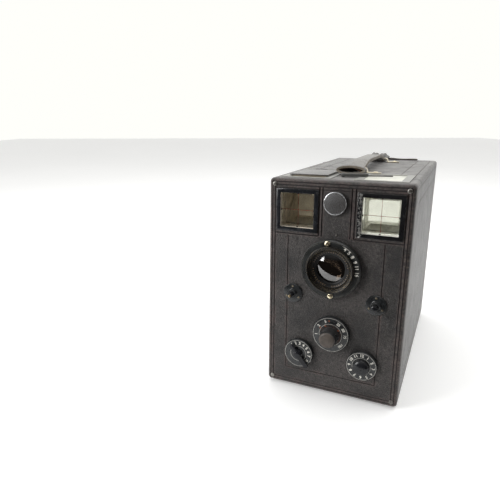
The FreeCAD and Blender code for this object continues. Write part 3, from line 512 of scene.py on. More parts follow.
class Graph:
    """A node tree that is being wired."""

    def __init__(self, tree: bpy.types.NodeTree) -> None:
        """Work on one tree."""
        self.tree = tree

    def node(self, kind: str, inputs: dict | None = None, **settings: object) -> bpy.types.Node:
        """Add a node.

        Args:
            kind: Its type, without the ShaderNode prefix.
            inputs: Values or sockets for its inputs, by name or index.
            **settings: Its properties.

        Returns:
            The node.
        """
        made = self.tree.nodes.new("ShaderNode" + kind)
        for prop, value in settings.items():
            setattr(made, prop, value)
        for key, value in (inputs or {}).items():
            self.feed(made.inputs[key], value)
        return made

    def feed(self, socket: Socket, value: object) -> None:
        """Link a socket to an input, or set its value."""
        if isinstance(value, Socket):
            self.tree.links.new(value, socket)
        elif socket.type == "RGBA" and len(value) == 3:
            socket.default_value = (*value, 1.0)
        else:
            socket.default_value = value

    def calc(self, operation: str, first: object, second: object = 0.0) -> Socket:
        """Result of a Math node."""
        return self.node("Math", {0: first, 1: second}, operation=operation).outputs[0]

    def times(self, first: object, second: object) -> Socket:
        """Product of two values."""
        return self.calc("MULTIPLY", first, second)

    def span(self, value: object, low: float, high: float, start: float = 0.0,
             end: float = 1.0) -> Socket:
        """Value brought from one range to another, and clamped."""
        inputs = {"Value": value, "From Min": low, "From Max": high, "To Min": start, "To Max": end}
        return self.node("MapRange", inputs).outputs["Result"]

    def blend(self, mask: object, first: object, second: object) -> Socket:
        """Two colours mixed by a mask."""
        return self.node("Mix", {0: mask, 6: first, 7: second}, data_type="RGBA").outputs[2]

    def noise(self, size: float, detail: float = 3.0, rough: float = 0.55, where: object = None,
              warp: float = 0.0) -> Socket:
        """Noise whose patches are about a size in metres, on the object's own coordinates."""
        inputs = {"Vector": where or self.place(), "Scale": 1 / size, "Detail": detail,
                  "Roughness": rough, "Distortion": warp}
        return self.node("TexNoise", inputs).outputs["Fac"]

    def place(self) -> Socket:
        """The object's own coordinates."""
        return self.node("TexCoord").outputs["Object"]

    def bump(self, height: object, depth: float, strength: float = 1.0,
             normal: object = None) -> Socket:
        """Normal of a height map that is depth metres deep.

        Args:
            height: The height map.
            depth: Its depth in metres.
            strength: Share of the effect.
            normal: A normal to start from.

        Returns:
            The normal.
        """
        inputs = {"Height": height, "Distance": depth, "Strength": strength}
        if normal is not None:
            inputs["Normal"] = normal
        return self.node("Bump", inputs).outputs["Normal"]


class Effects:
    """Shader groups that several finishes share. Each is built once."""

    made: dict[str, bpy.types.NodeTree] = {}

    @classmethod
    def group(cls, name: str, inputs: dict[str, float], outputs: Sequence[str],
              wire: Callable[[Graph, dict], dict]) -> bpy.types.NodeTree:
        """Make a group, or find it.

        Args:
            name: The group's name.
            inputs: Its inputs and their values.
            outputs: Names of its outputs.
            wire: Takes the graph and the input sockets, and gives a socket for each output.

        Returns:
            The group's tree.
        """
        if name in cls.made:
            return cls.made[name]
        tree = bpy.data.node_groups.new(name, "ShaderNodeTree")
        for label, value in inputs.items():
            made = tree.interface.new_socket(label, in_out="INPUT", socket_type="NodeSocketFloat")
            made.default_value = value
        for label in outputs:
            tree.interface.new_socket(label, in_out="OUTPUT", socket_type="NodeSocketFloat")
        graph = Graph(tree)
        entry = tree.nodes.new("NodeGroupInput")
        leave = tree.nodes.new("NodeGroupOutput")
        results = wire(graph, {label: entry.outputs[label] for label in inputs})
        for label, socket in results.items():
            tree.links.new(socket, leave.inputs[label])
        cls.made[name] = tree
        return tree

    @classmethod
    def use(cls, graph: Graph, tree: bpy.types.NodeTree, **values: float) -> dict[str, Socket]:
        """Place a group in a material with its own values.

        Args:
            graph: The material's graph.
            tree: The group.
            **values: Values of its inputs, with underscores for spaces.

        Returns:
            Its outputs by name.
        """
        node = graph.node("Group", node_tree=tree)
        for label, value in values.items():
            graph.feed(node.inputs[label.replace("_", " ")], value)
        return {output.name: output for output in node.outputs}

    @classmethod
    def hide_grain(cls, graph: Graph, **values: float) -> dict[str, Socket]:
        """Pebbled hide: cells with creases between them. Cells is the number of cells in a metre.

        Args:
            graph: The material's graph.
            **values: Values of its inputs.

        Returns:
            Height and Crease.
        """

        def wire(inner: Graph, given: dict) -> dict:
            """Wire the inside of the group."""
            where = inner.place()
            wander = inner.node("TexNoise", {"Vector": where, "Scale": 260.0, "Detail": 2.0})
            shift = inner.node("VectorMath", {0: wander.outputs["Color"], 1: (0.0016, 0.0016, 0.0016)},
                               operation="MULTIPLY").outputs[0]
            spot = inner.node("VectorMath", {0: where, 1: shift}, operation="ADD").outputs[0]
            cells = inner.node("TexVoronoi", {"Vector": spot, "Scale": given["Cells"], "Randomness": 1.0},
                               feature="DISTANCE_TO_EDGE").outputs["Distance"]
            pebble = inner.span(cells, 0.0, 0.32)
            fine = inner.node("TexNoise", {"Vector": where, "Scale": 2600.0, "Detail": 3.0}).outputs["Fac"]
            height = inner.calc("ADD", pebble, inner.times(fine, 0.55))
            return {"Height": height, "Crease": inner.span(cells, 0.0, 0.12, 1.0, 0.0)}

        tree = cls.group("hide_grain", {"Cells": 900.0}, ["Height", "Crease"], wire)
        return cls.use(graph, tree, **values)

    @classmethod
    def edge_wear(cls, graph: Graph, **values: float) -> dict[str, Socket]:
        """Mask of rubbed edges. Width is how far the wear reaches, Amount how much has gone.

        Args:
            graph: The material's graph.
            **values: Values of its inputs.

        Returns:
            Mask.
        """

        def wire(inner: Graph, given: dict) -> dict:
            """Wire the inside of the group."""
            rounded = inner.node("Bevel", {"Radius": given["Width"]}, samples=4).outputs["Normal"]
            flat = inner.node("NewGeometry").outputs["Normal"]
            dot = inner.node("VectorMath", {0: rounded, 1: flat}, operation="DOT_PRODUCT").outputs["Value"]
            edge = inner.calc("SUBTRACT", 1.0, dot)
            patch = inner.node("TexNoise", {"Vector": inner.place(), "Scale": given["Patches"], "Detail": 5.0,
                                            "Roughness": 0.65}).outputs["Fac"]
            worn = inner.times(edge, inner.times(given["Amount"], inner.span(patch, 0.35, 0.7)))
            return {"Mask": inner.span(worn, 0.02, 0.22)}

        tree = cls.group("edge_wear", {"Width": 0.0008, "Amount": 1.0, "Patches": 300.0}, ["Mask"], wire)
        return cls.use(graph, tree, **values)

    @classmethod
    def dust(cls, graph: Graph, **values: float) -> dict[str, Socket]:
        """Mask of dust that has settled where a surface looks up.

        Args:
            graph: The material's graph.
            **values: Values of its inputs.

        Returns:
            Mask.
        """

        def wire(inner: Graph, given: dict) -> dict:
            """Wire the inside of the group."""
            normal = inner.node("SeparateXYZ", {0: inner.node("NewGeometry").outputs["Normal"]}).outputs["Z"]
            cloud = inner.noise(0.012, 6.0, 0.7)
            speck = inner.span(inner.noise(0.0011, 2.0), 0.66, 0.74)
            film = inner.times(inner.span(normal, 0.1, 1.0), inner.span(cloud, 0.35, 0.75))
            both = inner.calc("ADD", inner.times(film, 0.6), inner.times(speck, 0.35))
            return {"Mask": inner.times(both, given["Amount"])}

        tree = cls.group("dust", {"Amount": 0.3}, ["Mask"], wire)
        return cls.use(graph, tree, **values)

    @classmethod
    def scratches(cls, graph: Graph, **values: float) -> dict[str, Socket]:
        """Mask of fine scratches that run several ways.

        Args:
            graph: The material's graph.
            **values: Values of its inputs.

        Returns:
            Mask.
        """

        def wire(inner: Graph, given: dict) -> dict:
            """Wire the inside of the group."""
            lines = []
            for turned in (0.5, 1.9, 2.7):
                mapped = inner.node("Mapping", {"Vector": inner.place(),
                                                "Rotation": (turned, turned * 2, turned * 3),
                                                "Scale": (1.0, 26.0, 1.0)}).outputs[0]
                streak = inner.node("TexNoise", {"Vector": mapped, "Scale": given["Density"], "Detail": 1.0})
                lines.append(inner.span(streak.outputs["Fac"], 0.73, 0.76))
            total = inner.calc("ADD", lines[0], inner.calc("ADD", lines[1], lines[2]))
            sparse = inner.span(inner.noise(0.03, 2.0), 0.5, 0.6)
            return {"Mask": inner.times(inner.calc("MINIMUM", total, 1.0), sparse)}

        tree = cls.group("scratches", {"Density": 90.0}, ["Mask"], wire)
        return cls.use(graph, tree, **values)


@dataclass(frozen=True)
class Finish:
    """What every finish has: a name and a way to become a material."""

    name: str

    def start(self) -> tuple[Material, Graph, bpy.types.Node]:
        """An empty material with its output and its Principled shader.

        Returns:
            The material, its graph and its shader.
        """
        material = bpy.data.materials.new(self.name)
        material.use_nodes = True
        graph = Graph(material.node_tree)
        graph.tree.nodes.clear()
        shader = graph.node("BsdfPrincipled")
        output = graph.node("OutputMaterial")
        graph.tree.links.new(shader.outputs[0], output.inputs["Surface"])
        return material, graph, shader

    def fill(self, graph: Graph, shader: bpy.types.Node, **sockets: object) -> None:
        """Feed the shader's inputs, whose spaces are written as underscores."""
        for label, value in sockets.items():
            graph.feed(shader.inputs[label.replace("_", " ")], value)


@dataclass(frozen=True)
class Hide(Finish):
    """Grained leather with rubbed edges, its grain tops in their own colour (a painted highlight on the dark
    hides) and painted shade in its creases.
    """

    deep: Colour = (0.0125, 0.012, 0.0118)
    warm: Colour = (0.076, 0.066, 0.062)
    rubbed: Colour = (0.17, 0.11, 0.098)
    cells: float = 820.0
    relief: float = 0.0003
    rough: float = 0.44
    wear: float = 1.0
    wear_reach: float = 0.0032
    dusty: float = 0.25
    # Grain-top colour: on the dark hides a painted highlight
    peak: Colour = (0.07, 0.062, 0.058)
    sheen: float = 0.1
    level: float = 0.4
    crack_axis: str = ""
    crack_at: float = 0.0
    crack_reach: float = 0.007
    cracked: Colour = (0.16, 0.13, 0.11)

    def cracks(self, graph: Graph) -> Socket:
        """Mask of the fine cracks that run across one edge.

        Args:
            graph: The material's graph.

        Returns:
            The mask.
        """
        along = graph.node("SeparateXYZ", {0: graph.place()}).outputs[self.crack_axis]
        away = graph.calc("ABSOLUTE", graph.calc("SUBTRACT", along, self.crack_at))
        band = graph.span(away, self.crack_reach * 0.3, self.crack_reach, 1.0, 0.0)
        flat = graph.node("Mapping", {"Vector": graph.place(), "Scale": (0.25, 0.25, 1.0)}).outputs[0]
        lines = graph.span(graph.noise(0.0017, 4.0, 0.7, flat), 0.52, 0.64)
        return graph.times(lines, band)

    def build(self) -> Material:
        """Wire the leather.

        Returns:
            The material.
        """
        material, graph, shader = self.start()
        grain = Effects.hide_grain(graph, Cells=self.cells)
        worn = Effects.edge_wear(graph, Width=self.wear_reach, Amount=self.wear, Patches=160.0)["Mask"]
        dust = Effects.dust(graph, Amount=self.dusty)["Mask"]
        mottle = graph.span(graph.noise(0.03, 5.0, 0.6), 0.3, 0.7)
        flecked = graph.times(mottle, graph.span(graph.noise(0.0026, 5.0, 0.8), 0.32, 0.68, 0.0, 1.9))
        base = graph.blend(graph.calc("MINIMUM", flecked, 1.0), self.deep, self.warm)
        # Painted highlight on the grain tops and painted shade in the creases between them
        painted_peaks = graph.blend(graph.span(grain["Height"], 0.9, 1.5, 0.0, 0.45), base, self.peak)
        painted_crease_shade = graph.blend(graph.times(grain["Crease"], 0.7), painted_peaks, (0.006, 0.005, 0.005))
        rubbed = graph.blend(worn, painted_crease_shade, self.rubbed)
        if self.crack_axis:
            rubbed = graph.blend(graph.times(self.cracks(graph), 0.8), rubbed, self.cracked)
        scuffs = Effects.scratches(graph, Density=60.0)["Mask"]
        scuffed = graph.blend(graph.times(scuffs, 0.1), rubbed, (0.3, 0.27, 0.25))
        coloured = graph.blend(graph.calc("MINIMUM", dust, 0.8), scuffed, (0.4, 0.385, 0.36))
        rough = graph.span(graph.noise(0.02, 4.0), 0.3, 0.7, self.rough - 0.06, self.rough + 0.08)
        swell = graph.bump(graph.noise(0.02, 2.0), 0.0009, 0.5)
        normal = graph.bump(grain["Height"], self.relief, 0.8, swell)
        self.fill(graph, shader, Base_Color=coloured, Roughness=rough, Normal=normal,
                  Specular_IOR_Level=self.level, Sheen_Weight=self.sheen, Sheen_Roughness=0.4)
        return material


@dataclass(frozen=True)
class Enamel(Finish):
    """Black or coloured lacquer on metal, chipped at its edges."""

    colour: Colour = (0.008, 0.008, 0.009)
    under: Colour = (0.30, 0.29, 0.28)
    rough: float = 0.2
    wear: float = 0.8
    wear_reach: float = 0.0005
    ripple: float = 0.00002
    dusty: float = 0.15
    level: float = 0.35
    chips_x: float | None = None

    def build(self) -> Material:
        """Wire the lacquer.

        Returns:
            The material.
        """
        material, graph, shader = self.start()
        worn = Effects.edge_wear(graph, Width=self.wear_reach, Amount=self.wear, Patches=700.0)["Mask"]
        if self.chips_x is not None:
            across = graph.node("SeparateXYZ", {0: graph.place()}).outputs["X"]
            band = graph.span(graph.calc("ABSOLUTE", graph.calc("SUBTRACT", across, self.chips_x)),
                              0.0002, 0.0026, 1.0, 0.0)
            flakes = graph.calc("ADD", graph.noise(0.0022, 5.0, 0.7), graph.times(band, 0.16))
            worn = graph.calc("MAXIMUM", worn, graph.times(graph.span(flakes, 0.63, 0.66), band))
        dust = Effects.dust(graph, Amount=self.dusty)["Mask"]
        scratch = Effects.scratches(graph, Density=160.0)["Mask"]
        cloud = graph.noise(0.006, 4.0)
        shade = graph.blend(graph.span(cloud, 0.3, 0.7), self.colour,
                            tuple(c * 1.7 + 0.002 for c in self.colour))
        bare = graph.blend(worn, shade, self.under)
        marked = graph.blend(graph.times(scratch, 0.12), bare, (0.25, 0.25, 0.25))
        coloured = graph.blend(dust, marked, (0.36, 0.34, 0.31))
        rough = graph.calc("ADD", graph.span(cloud, 0.3, 0.7, self.rough - 0.04, self.rough + 0.08),
                           graph.times(dust, 0.5))
        normal = graph.bump(graph.noise(0.003, 3.0), self.ripple, 0.6)
        self.fill(graph, shader, Base_Color=coloured, Roughness=rough, Normal=normal,
                  Metallic=graph.times(worn, 0.7), Specular_IOR_Level=self.level)
        return material


@dataclass(frozen=True)
class Metal(Finish):
    """Bare or plated metal with tarnish in patches."""

    colour: Colour = (0.6, 0.56, 0.48)
    tarnish: Colour = (0.22, 0.18, 0.12)
    rough: float = 0.3
    dulled: float = 0.6
    grain: float = 0.0012
    dusty: float = 0.1

    def build(self) -> Material:
        """Wire the metal.

        Returns:
            The material.
        """
        material, graph, shader = self.start()
        patch = graph.span(graph.noise(self.grain * 3, 5.0, 0.65), 0.42, 0.68)
        worn = Effects.edge_wear(graph, Width=0.0004, Amount=1.0, Patches=900.0)["Mask"]
        dust = Effects.dust(graph, Amount=self.dusty)["Mask"]
        dull = graph.times(graph.times(patch, self.dulled), graph.calc("SUBTRACT", 1.0, worn))
        metal = graph.blend(dull, self.colour, self.tarnish)
        coloured = graph.blend(dust, metal, (0.36, 0.33, 0.29))
        rough = graph.calc("ADD", self.rough, graph.times(dull, 0.3))
        normal = graph.bump(graph.noise(self.grain, 4.0), 0.00003, 0.5)
        self.fill(graph, shader, Base_Color=coloured, Roughness=rough, Normal=normal,
                  Metallic=graph.span(dull, 0.0, 1.0, 1.0, 0.75))
        return material


@dataclass(frozen=True)
class Spun(Finish):
    """Metal turned on a lathe: fine rings about an axis that points to the front."""

    centre: Pair = (0.0, 0.0)
    colour: Colour = (0.07, 0.08, 0.1)
    rough: float = 0.24
    pitch: float = 0.00016

    def build(self) -> Material:
        """Wire the turned metal.

        Returns:
            The material.
        """
        material, graph, shader = self.start()
        parts = graph.node("SeparateXYZ", {0: graph.place()})
        across = graph.calc("SUBTRACT", parts.outputs["X"], self.centre[0])
        up = graph.calc("SUBTRACT", parts.outputs["Z"], self.centre[1])
        radius = graph.calc("SQRT", graph.calc("ADD", graph.times(across, across),
                                               graph.times(up, up)))
        rings = graph.calc("SINE", graph.times(radius, 2 * math.pi / self.pitch))
        where = graph.node("CombineXYZ", {0: radius}).outputs[0]
        uneven = graph.noise(0.0007, 3.0, 0.6, where)
        smear = graph.noise(0.014, 3.0, 0.5)
        worn = Effects.edge_wear(graph, Width=0.0006, Amount=1.2, Patches=400.0)["Mask"]
        base = graph.blend(graph.span(smear, 0.3, 0.75), self.colour, tuple(c * 1.35 for c in self.colour))
        coloured = graph.blend(worn, base, (0.5, 0.5, 0.5))
        height = graph.calc("ADD", graph.times(rings, 0.5), uneven)
        self.fill(graph, shader, Base_Color=coloured, Normal=graph.bump(height, 0.000008, 0.6),
                  Roughness=graph.span(smear, 0.3, 0.7, self.rough - 0.03, self.rough + 0.05),
                  Metallic=graph.span(smear, 0.0, 1.0, 0.86, 0.96))
        return material


@dataclass(frozen=True)
class Timber(Finish):
    """Mahogany boards, darkened with age. The grain is drawn out along one axis."""

    light: Colour = (0.17, 0.07, 0.034)
    dark: Colour = (0.065, 0.025, 0.014)
    drawn: tuple[float, float, float] = (1.0, 0.07, 1.0)

    def build(self) -> Material:
        """Wire the wood.

        Returns:
            The material.
        """
        material, graph, shader = self.start()
        along = graph.node("Mapping", {"Vector": graph.place(), "Scale": self.drawn}).outputs[0]
        figure = graph.noise(0.005, 5.0, 0.65, along, 0.4)
        pores = graph.noise(0.0005, 2.0, 0.5, along)
        shade = graph.blend(graph.span(figure, 0.3, 0.7), self.dark, self.light)
        dark = graph.blend(graph.span(pores, 0.6, 0.7), shade, (0.03, 0.012, 0.008))
        self.fill(graph, shader, Base_Color=dark, Roughness=graph.span(figure, 0.3, 0.7, 0.42, 0.6),
                  Normal=graph.bump(pores, 0.00008, 0.5))
        return material


@dataclass(frozen=True)
class Glazing(Finish):
    """Clear or ground glass, or a silvered mirror, with dust and a few smears. A screen can also glow:
    painted light standing in for daylight through its ground glass.
    """

    colour: Colour = (0.95, 0.97, 0.96)
    rough: float = 0.02
    see_through: float = 1.0
    index: float = 1.52
    metallic: float = 0.0
    glow: Colour = (0.0, 0.0, 0.0)
    glow_strength: float = 0.0

    def build(self) -> Material:
        """Wire the glass.

        Returns:
            The material.
        """
        material, graph, shader = self.start()
        smear = graph.noise(0.008, 5.0, 0.6)
        dust = Effects.dust(graph, Amount=0.08)["Mask"]
        coloured = graph.blend(dust, self.colour, tuple(c * 0.8 for c in self.colour))
        rough = graph.span(smear, 0.45, 0.75, self.rough, self.rough + 0.05)
        # Painted glow: emission, mottled by the smears, that makes a screen look lit
        painted_glow_colour = graph.blend(graph.span(smear, 0.3, 0.7), self.glow, tuple(c * 0.45 for c in self.glow))
        self.fill(graph, shader, Base_Color=coloured, Roughness=rough, Metallic=self.metallic,
                  Transmission_Weight=self.see_through, IOR=self.index, Emission_Color=painted_glow_colour,
                  Emission_Strength=self.glow_strength, Normal=graph.bump(smear, 0.000002, 0.3))
        return material


@dataclass(frozen=True)
class Paint(Finish):
    """Filled numbers and lines, a little worn away."""

    colour: Colour = (0.72, 0.7, 0.64)
    worn: Colour = (0.2, 0.19, 0.17)
    amount: float = 0.5
    rough: float = 0.55
    low: float = 0.52

    def build(self) -> Material:
        """Wire the paint.

        Returns:
            The material.
        """
        material, graph, shader = self.start()
        patch = graph.span(graph.noise(0.0016, 4.0, 0.7), self.low, self.low + 0.2)
        coloured = graph.blend(graph.times(patch, self.amount), self.colour, self.worn)
        self.fill(graph, shader, Base_Color=coloured, Normal=graph.bump(patch, 0.00002, 0.4),
                  Roughness=graph.span(patch, 0.0, 1.0, self.rough, self.rough + 0.2))
        return material


# ---- leather


@dataclass
class LeatherWork:
    """Front, case and door coverings with their blind-tooled lines. Sizes in millimetres."""

    finish: Material
    side_finish: Material
    # crease: the front's groove finish, darker as painted shade in the grooves
    crease: Material
    side_crease: Material
    corner: float = 3.4
    rim_round: float = 2.6
    groove_wide: float = 0.9
    groove_deep: float = 0.38
    front_rims: tuple[float, ...] = (2.9, 5.5)
    panel_left: float = 17.8
    panel_right: float = 20.0
    panel_low: float = 17.5
    panel_high: float = 144.6
    ridge_lines: tuple[float, ...] = (44.6, 47.2, 71.4, 74.6)
    finder_foot: float = 146.2
    top_lines: tuple[float, ...] = (7.0, 20.0)
    side_lines: Pair = (5.5, 18.0)
    door_lines: tuple[float, ...] = (5.5, 18.0, 20.4)
    skin: float = 1.2
    case: Span = field(default_factory=lambda: Span.of("case_cover"))
    front: Span = field(default_factory=lambda: Span.of("front_cover"))
    door: Span = field(default_factory=lambda: Span.of("rear_door_cover"))

    def tray(self, name: str, span: Span, facing: Facing) -> Piece:
        """A shallow leather tray with a rounded rim, hollow behind for its board.

        Args:
            name: The piece's name.
            span: The box it fills.
            facing: FRONT or BACK.

        Returns:
            The tray, in place.
        """
        deep = span.size.y
        curve, skin = self.rim_round * MM, self.skin * MM
        bpy.ops.mesh.primitive_plane_add(size=1)
        piece = named(name)
        settle(piece, Matrix.Diagonal((span.size.x, span.size.z, 1, 1)))
        with editing(piece):
            bpy.ops.mesh.bevel(offset=self.corner * MM, segments=6, affect="VERTICES")
            bpy.ops.mesh.select_all(action="SELECT")
            extrude((0, 0, deep - curve))
            steps = 5
            for step in range(steps):
                start, end = (math.pi / 2 * part / steps for part in (step, step + 1))
                inward = curve * (math.cos(start) - math.cos(end))
                outward = curve * (math.sin(end) - math.sin(start))
                bpy.ops.mesh.inset(thickness=inward, depth=outward)
            pick(piece, "FACE", lambda middle, normal: normal.z < -0.9)
            bpy.ops.mesh.inset(thickness=skin, depth=0)
            extrude((0, 0, deep - skin))
        tidy(piece)
        rear = span.high.y if facing is Facing.FRONT else span.low.y
        return put(piece, span.at(rear), facing)

    def groove(self, start: Sequence[float], end: Sequence[float], out: Vector, wide: float = 1.0) -> Piece:
        """A groove's cutter between two points in metres."""
        width = self.groove_wide * wide * MM
        return bar(Vector(start), Vector(end), out, width, self.groove_deep * wide * MM)

    def tool_lines(self, piece: Piece, finish: Material,
                   tools: Sequence[Piece]) -> None:
        """Cut lines into a covering, each with its own darker finish; on the front it is painted shade in the
        grooves.

        Args:
            piece: The covering.
            finish: Its leather.
            tools: The grooves' cutters.
        """
        crease = self.crease if finish is self.finish else self.side_crease
        dress(piece, finish, crease)
        cutter = join("tooling", tools)
        dress(cutter, finish, crease, index=1)
        carve(piece, cutter)

    def frame_grooves(self, low: Pair, high: Pair, level: float, out: Vector) -> list[Piece]:
        """Cutters for the four sides of an upright rectangle.

        Args:
            low: Low corner, across and up.
            high: High corner, across and up.
            level: How far back the surface is.
            out: Its outward normal.

        Returns:
            Four bars.
        """
        corners = [(low[0], low[1]), (high[0], low[1]), (high[0], high[1]), (low[0], high[1])]
        spots = [(across, level, up) for across, up in corners]
        return [self.groove(a, b, out) for a, b in zip(spots, spots[1:] + spots[:1])]

    def build_front(self) -> None:
        """Front covering, with its windows and holes."""
        piece = self.tray("front_leather", self.front, Facing.FRONT)
        out = Vector((0, -1, 0))
        face = self.front.low.y
        left, right = self.front.low.x, self.front.high.x
        base, top = self.front.low.z, self.front.high.z
        tools = []
        for inset in self.front_rims:
            edge = inset * MM
            tools += self.frame_grooves((left + edge, base + edge), (right - edge, top - edge), face, out)
        heights = (base + self.panel_low * MM, base + self.panel_high * MM)
        sides = (left + self.panel_left * MM, right - self.panel_right * MM)
        for across in sides:
            tools.append(self.groove((across, face, heights[0]), (across, face, heights[1]), out))
        tools.append(self.groove((sides[0], face, heights[0]), (sides[1], face, heights[0]), out))
        foot = base + self.finder_foot * MM
        inner = self.front_rims[-1] * MM
        for line, stop in ((left + inner, left + self.ridge_lines[0] * MM),
                           (left + self.ridge_lines[3] * MM, right - inner)):
            tools.append(self.groove((line, face, foot), (stop, face, foot), out, 1.2))
        for line in self.ridge_lines:
            across = left + line * MM
            tools.append(self.groove((across, face, foot), (across, face, top - inner), out, 1.3))
        high_line = top - 8.0 * MM
        tools.append(self.groove((left + inner, face, high_line), (right - inner, face, high_line), out, 0.8))
        self.tool_lines(piece, self.finish, tools)
        for tool in self.front_holes():
            carve(piece, tool)
        hand_over(piece, None, "case", Slot.LEATHER, "front_cover")

    def front_holes(self) -> list[Piece]:
        """Cutters for the finder windows and for all that passes through the front.

        Returns:
            The cutters.
        """
        tools = []
        depth = (self.front.low.y - 5 * MM, self.front.high.y + 5 * MM)
        for side in SIDES:
            glass = Span.of(f"finder_glass_{side}")
            margin = 1.5 * MM
            low = (glass.low.x - margin, depth[0], glass.low.z - margin)
            high = (glass.high.x + margin, depth[1], glass.high.z + margin)
            tools.append(block("window", low, high))
        bores = {"lens_barrel": 16.9, "push_button": 2.7, "mode_lever": 2.2, "counter_knob": 2.2,
                 "speed_knob": 2.2, "release_plunger": 3.0, "time_plunger": 3.0}
        centres = {"mode_lever": "mode_dial", "lens_barrel": "lens_flange"}
        for node, radius in bores.items():
            seat = Span.of(centres.get(node, node)).at(self.front.low.y)
            tools.append(put(turn("bore", [(radius, -12), (radius, 12)], sides=48), seat, Facing.FRONT))
        return tools

    def build_case(self) -> None:
        """The covering of the four boards, a rounded tube with lines along its edges."""
        span = self.case
        bpy.ops.mesh.primitive_plane_add(size=1)
        piece = named("case_leather_tube")
        settle(piece, Matrix.Diagonal((span.size.x, span.size.z, 1, 1)))
        with editing(piece):
            bpy.ops.mesh.bevel(offset=self.corner * MM, segments=6, affect="VERTICES")
            bpy.ops.mesh.select_all(action="SELECT")
            extrude((0, 0, span.size.y))
            pick(piece, "FACE", lambda middle, normal: abs(normal.z) > 0.9)
            bpy.ops.mesh.inset(thickness=self.skin * MM, depth=0)
            bpy.ops.mesh.bridge_edge_loops()
        tidy(piece)
        put(piece, span.at(span.high.y), Facing.FRONT)
        self.tool_lines(piece, self.side_finish, self.case_grooves())
        for side in SIDES:
            finder = Span.of(f"finder_box_{side}")
            margin = 0.3 * MM
            low = (finder.low.x - margin, finder.low.y - margin, span.high.z - 5 * MM)
            high = (finder.high.x + margin, finder.high.y + margin, span.high.z + 5 * MM)
            carve(piece, block("screen_hole", low, high))
        for node, facing in (("base_bush", Facing.UP), ("side_bush", Facing.RIGHT)):
            bush = Span.of(node)
            carve(piece, put(turn("bush_hole", [(6.0, -12), (6.0, 12)], sides=48), bush.middle, facing))
        lever = Span.of("changing_lever")
        pivot = Vector((span.low.x, lever.middle.y, lever.low.z + 9.0 * MM))
        carve(piece, put(turn("shaft_hole", [(2.6, -8), (2.6, 8)], sides=32), pivot, Facing.RIGHT))
        hand_over(piece, None, "case", Slot.LEATHER, "case_cover")

    def case_grooves(self) -> list[Piece]:
        """Cutters for the lines on the top and on the two sides.

        Returns:
            The cutters.
        """
        span = self.case
        near, far = span.low.y + 5 * MM, span.high.y - 7 * MM
        tools = []
        up = Vector((0, 0, 1))
        for inset in self.top_lines:
            for across in (span.low.x + inset * MM, span.high.x - inset * MM):
                start = near if inset < 10 else near + 46 * MM
                tools.append(self.groove((across, start, span.high.z), (across, far, span.high.z), up))
        tools.append(self.groove((span.low.x + 7 * MM, far, span.high.z),
                                 (span.high.x - 7 * MM, far, span.high.z), up))
        for across, sign in ((span.low.x, -1), (span.high.x, 1)):
            out = Vector((sign, 0, 0))
            for inset in self.side_lines:
                edge = inset * MM
                heights = (span.low.z + edge, span.high.z - edge)
                inward = edge - self.side_lines[0] * MM
                ends = (near + inward, far - inward)
                for height in heights:
                    tools.append(self.groove((across, ends[0], height), (across, ends[1], height), out))
                for back in ends:
                    tools.append(self.groove((across, back, heights[0]), (across, back, heights[1]), out))
        return tools

    def build_door(self) -> None:
        """Covering of the rear door, with two tooled frames."""
        piece = self.tray("door_leather", self.door, Facing.BACK)
        out = Vector((0, 1, 0))
        level = self.door.high.y
        tools = []
        for inset in self.door_lines:
            edge = inset * MM
            low = (self.door.low.x + edge, self.door.low.z + edge)
            high = (self.door.high.x - edge, self.door.high.z - edge)
            tools += self.frame_grooves(low, high, level, out)
        self.tool_lines(piece, self.side_finish, tools)
        hand_over(piece, None, "door", Slot.LEATHER, "rear_door_cover")

    def build(self) -> None:
        """All three coverings."""
        self.build_front()
        self.build_case()
        self.build_door()


# ---- fasteners


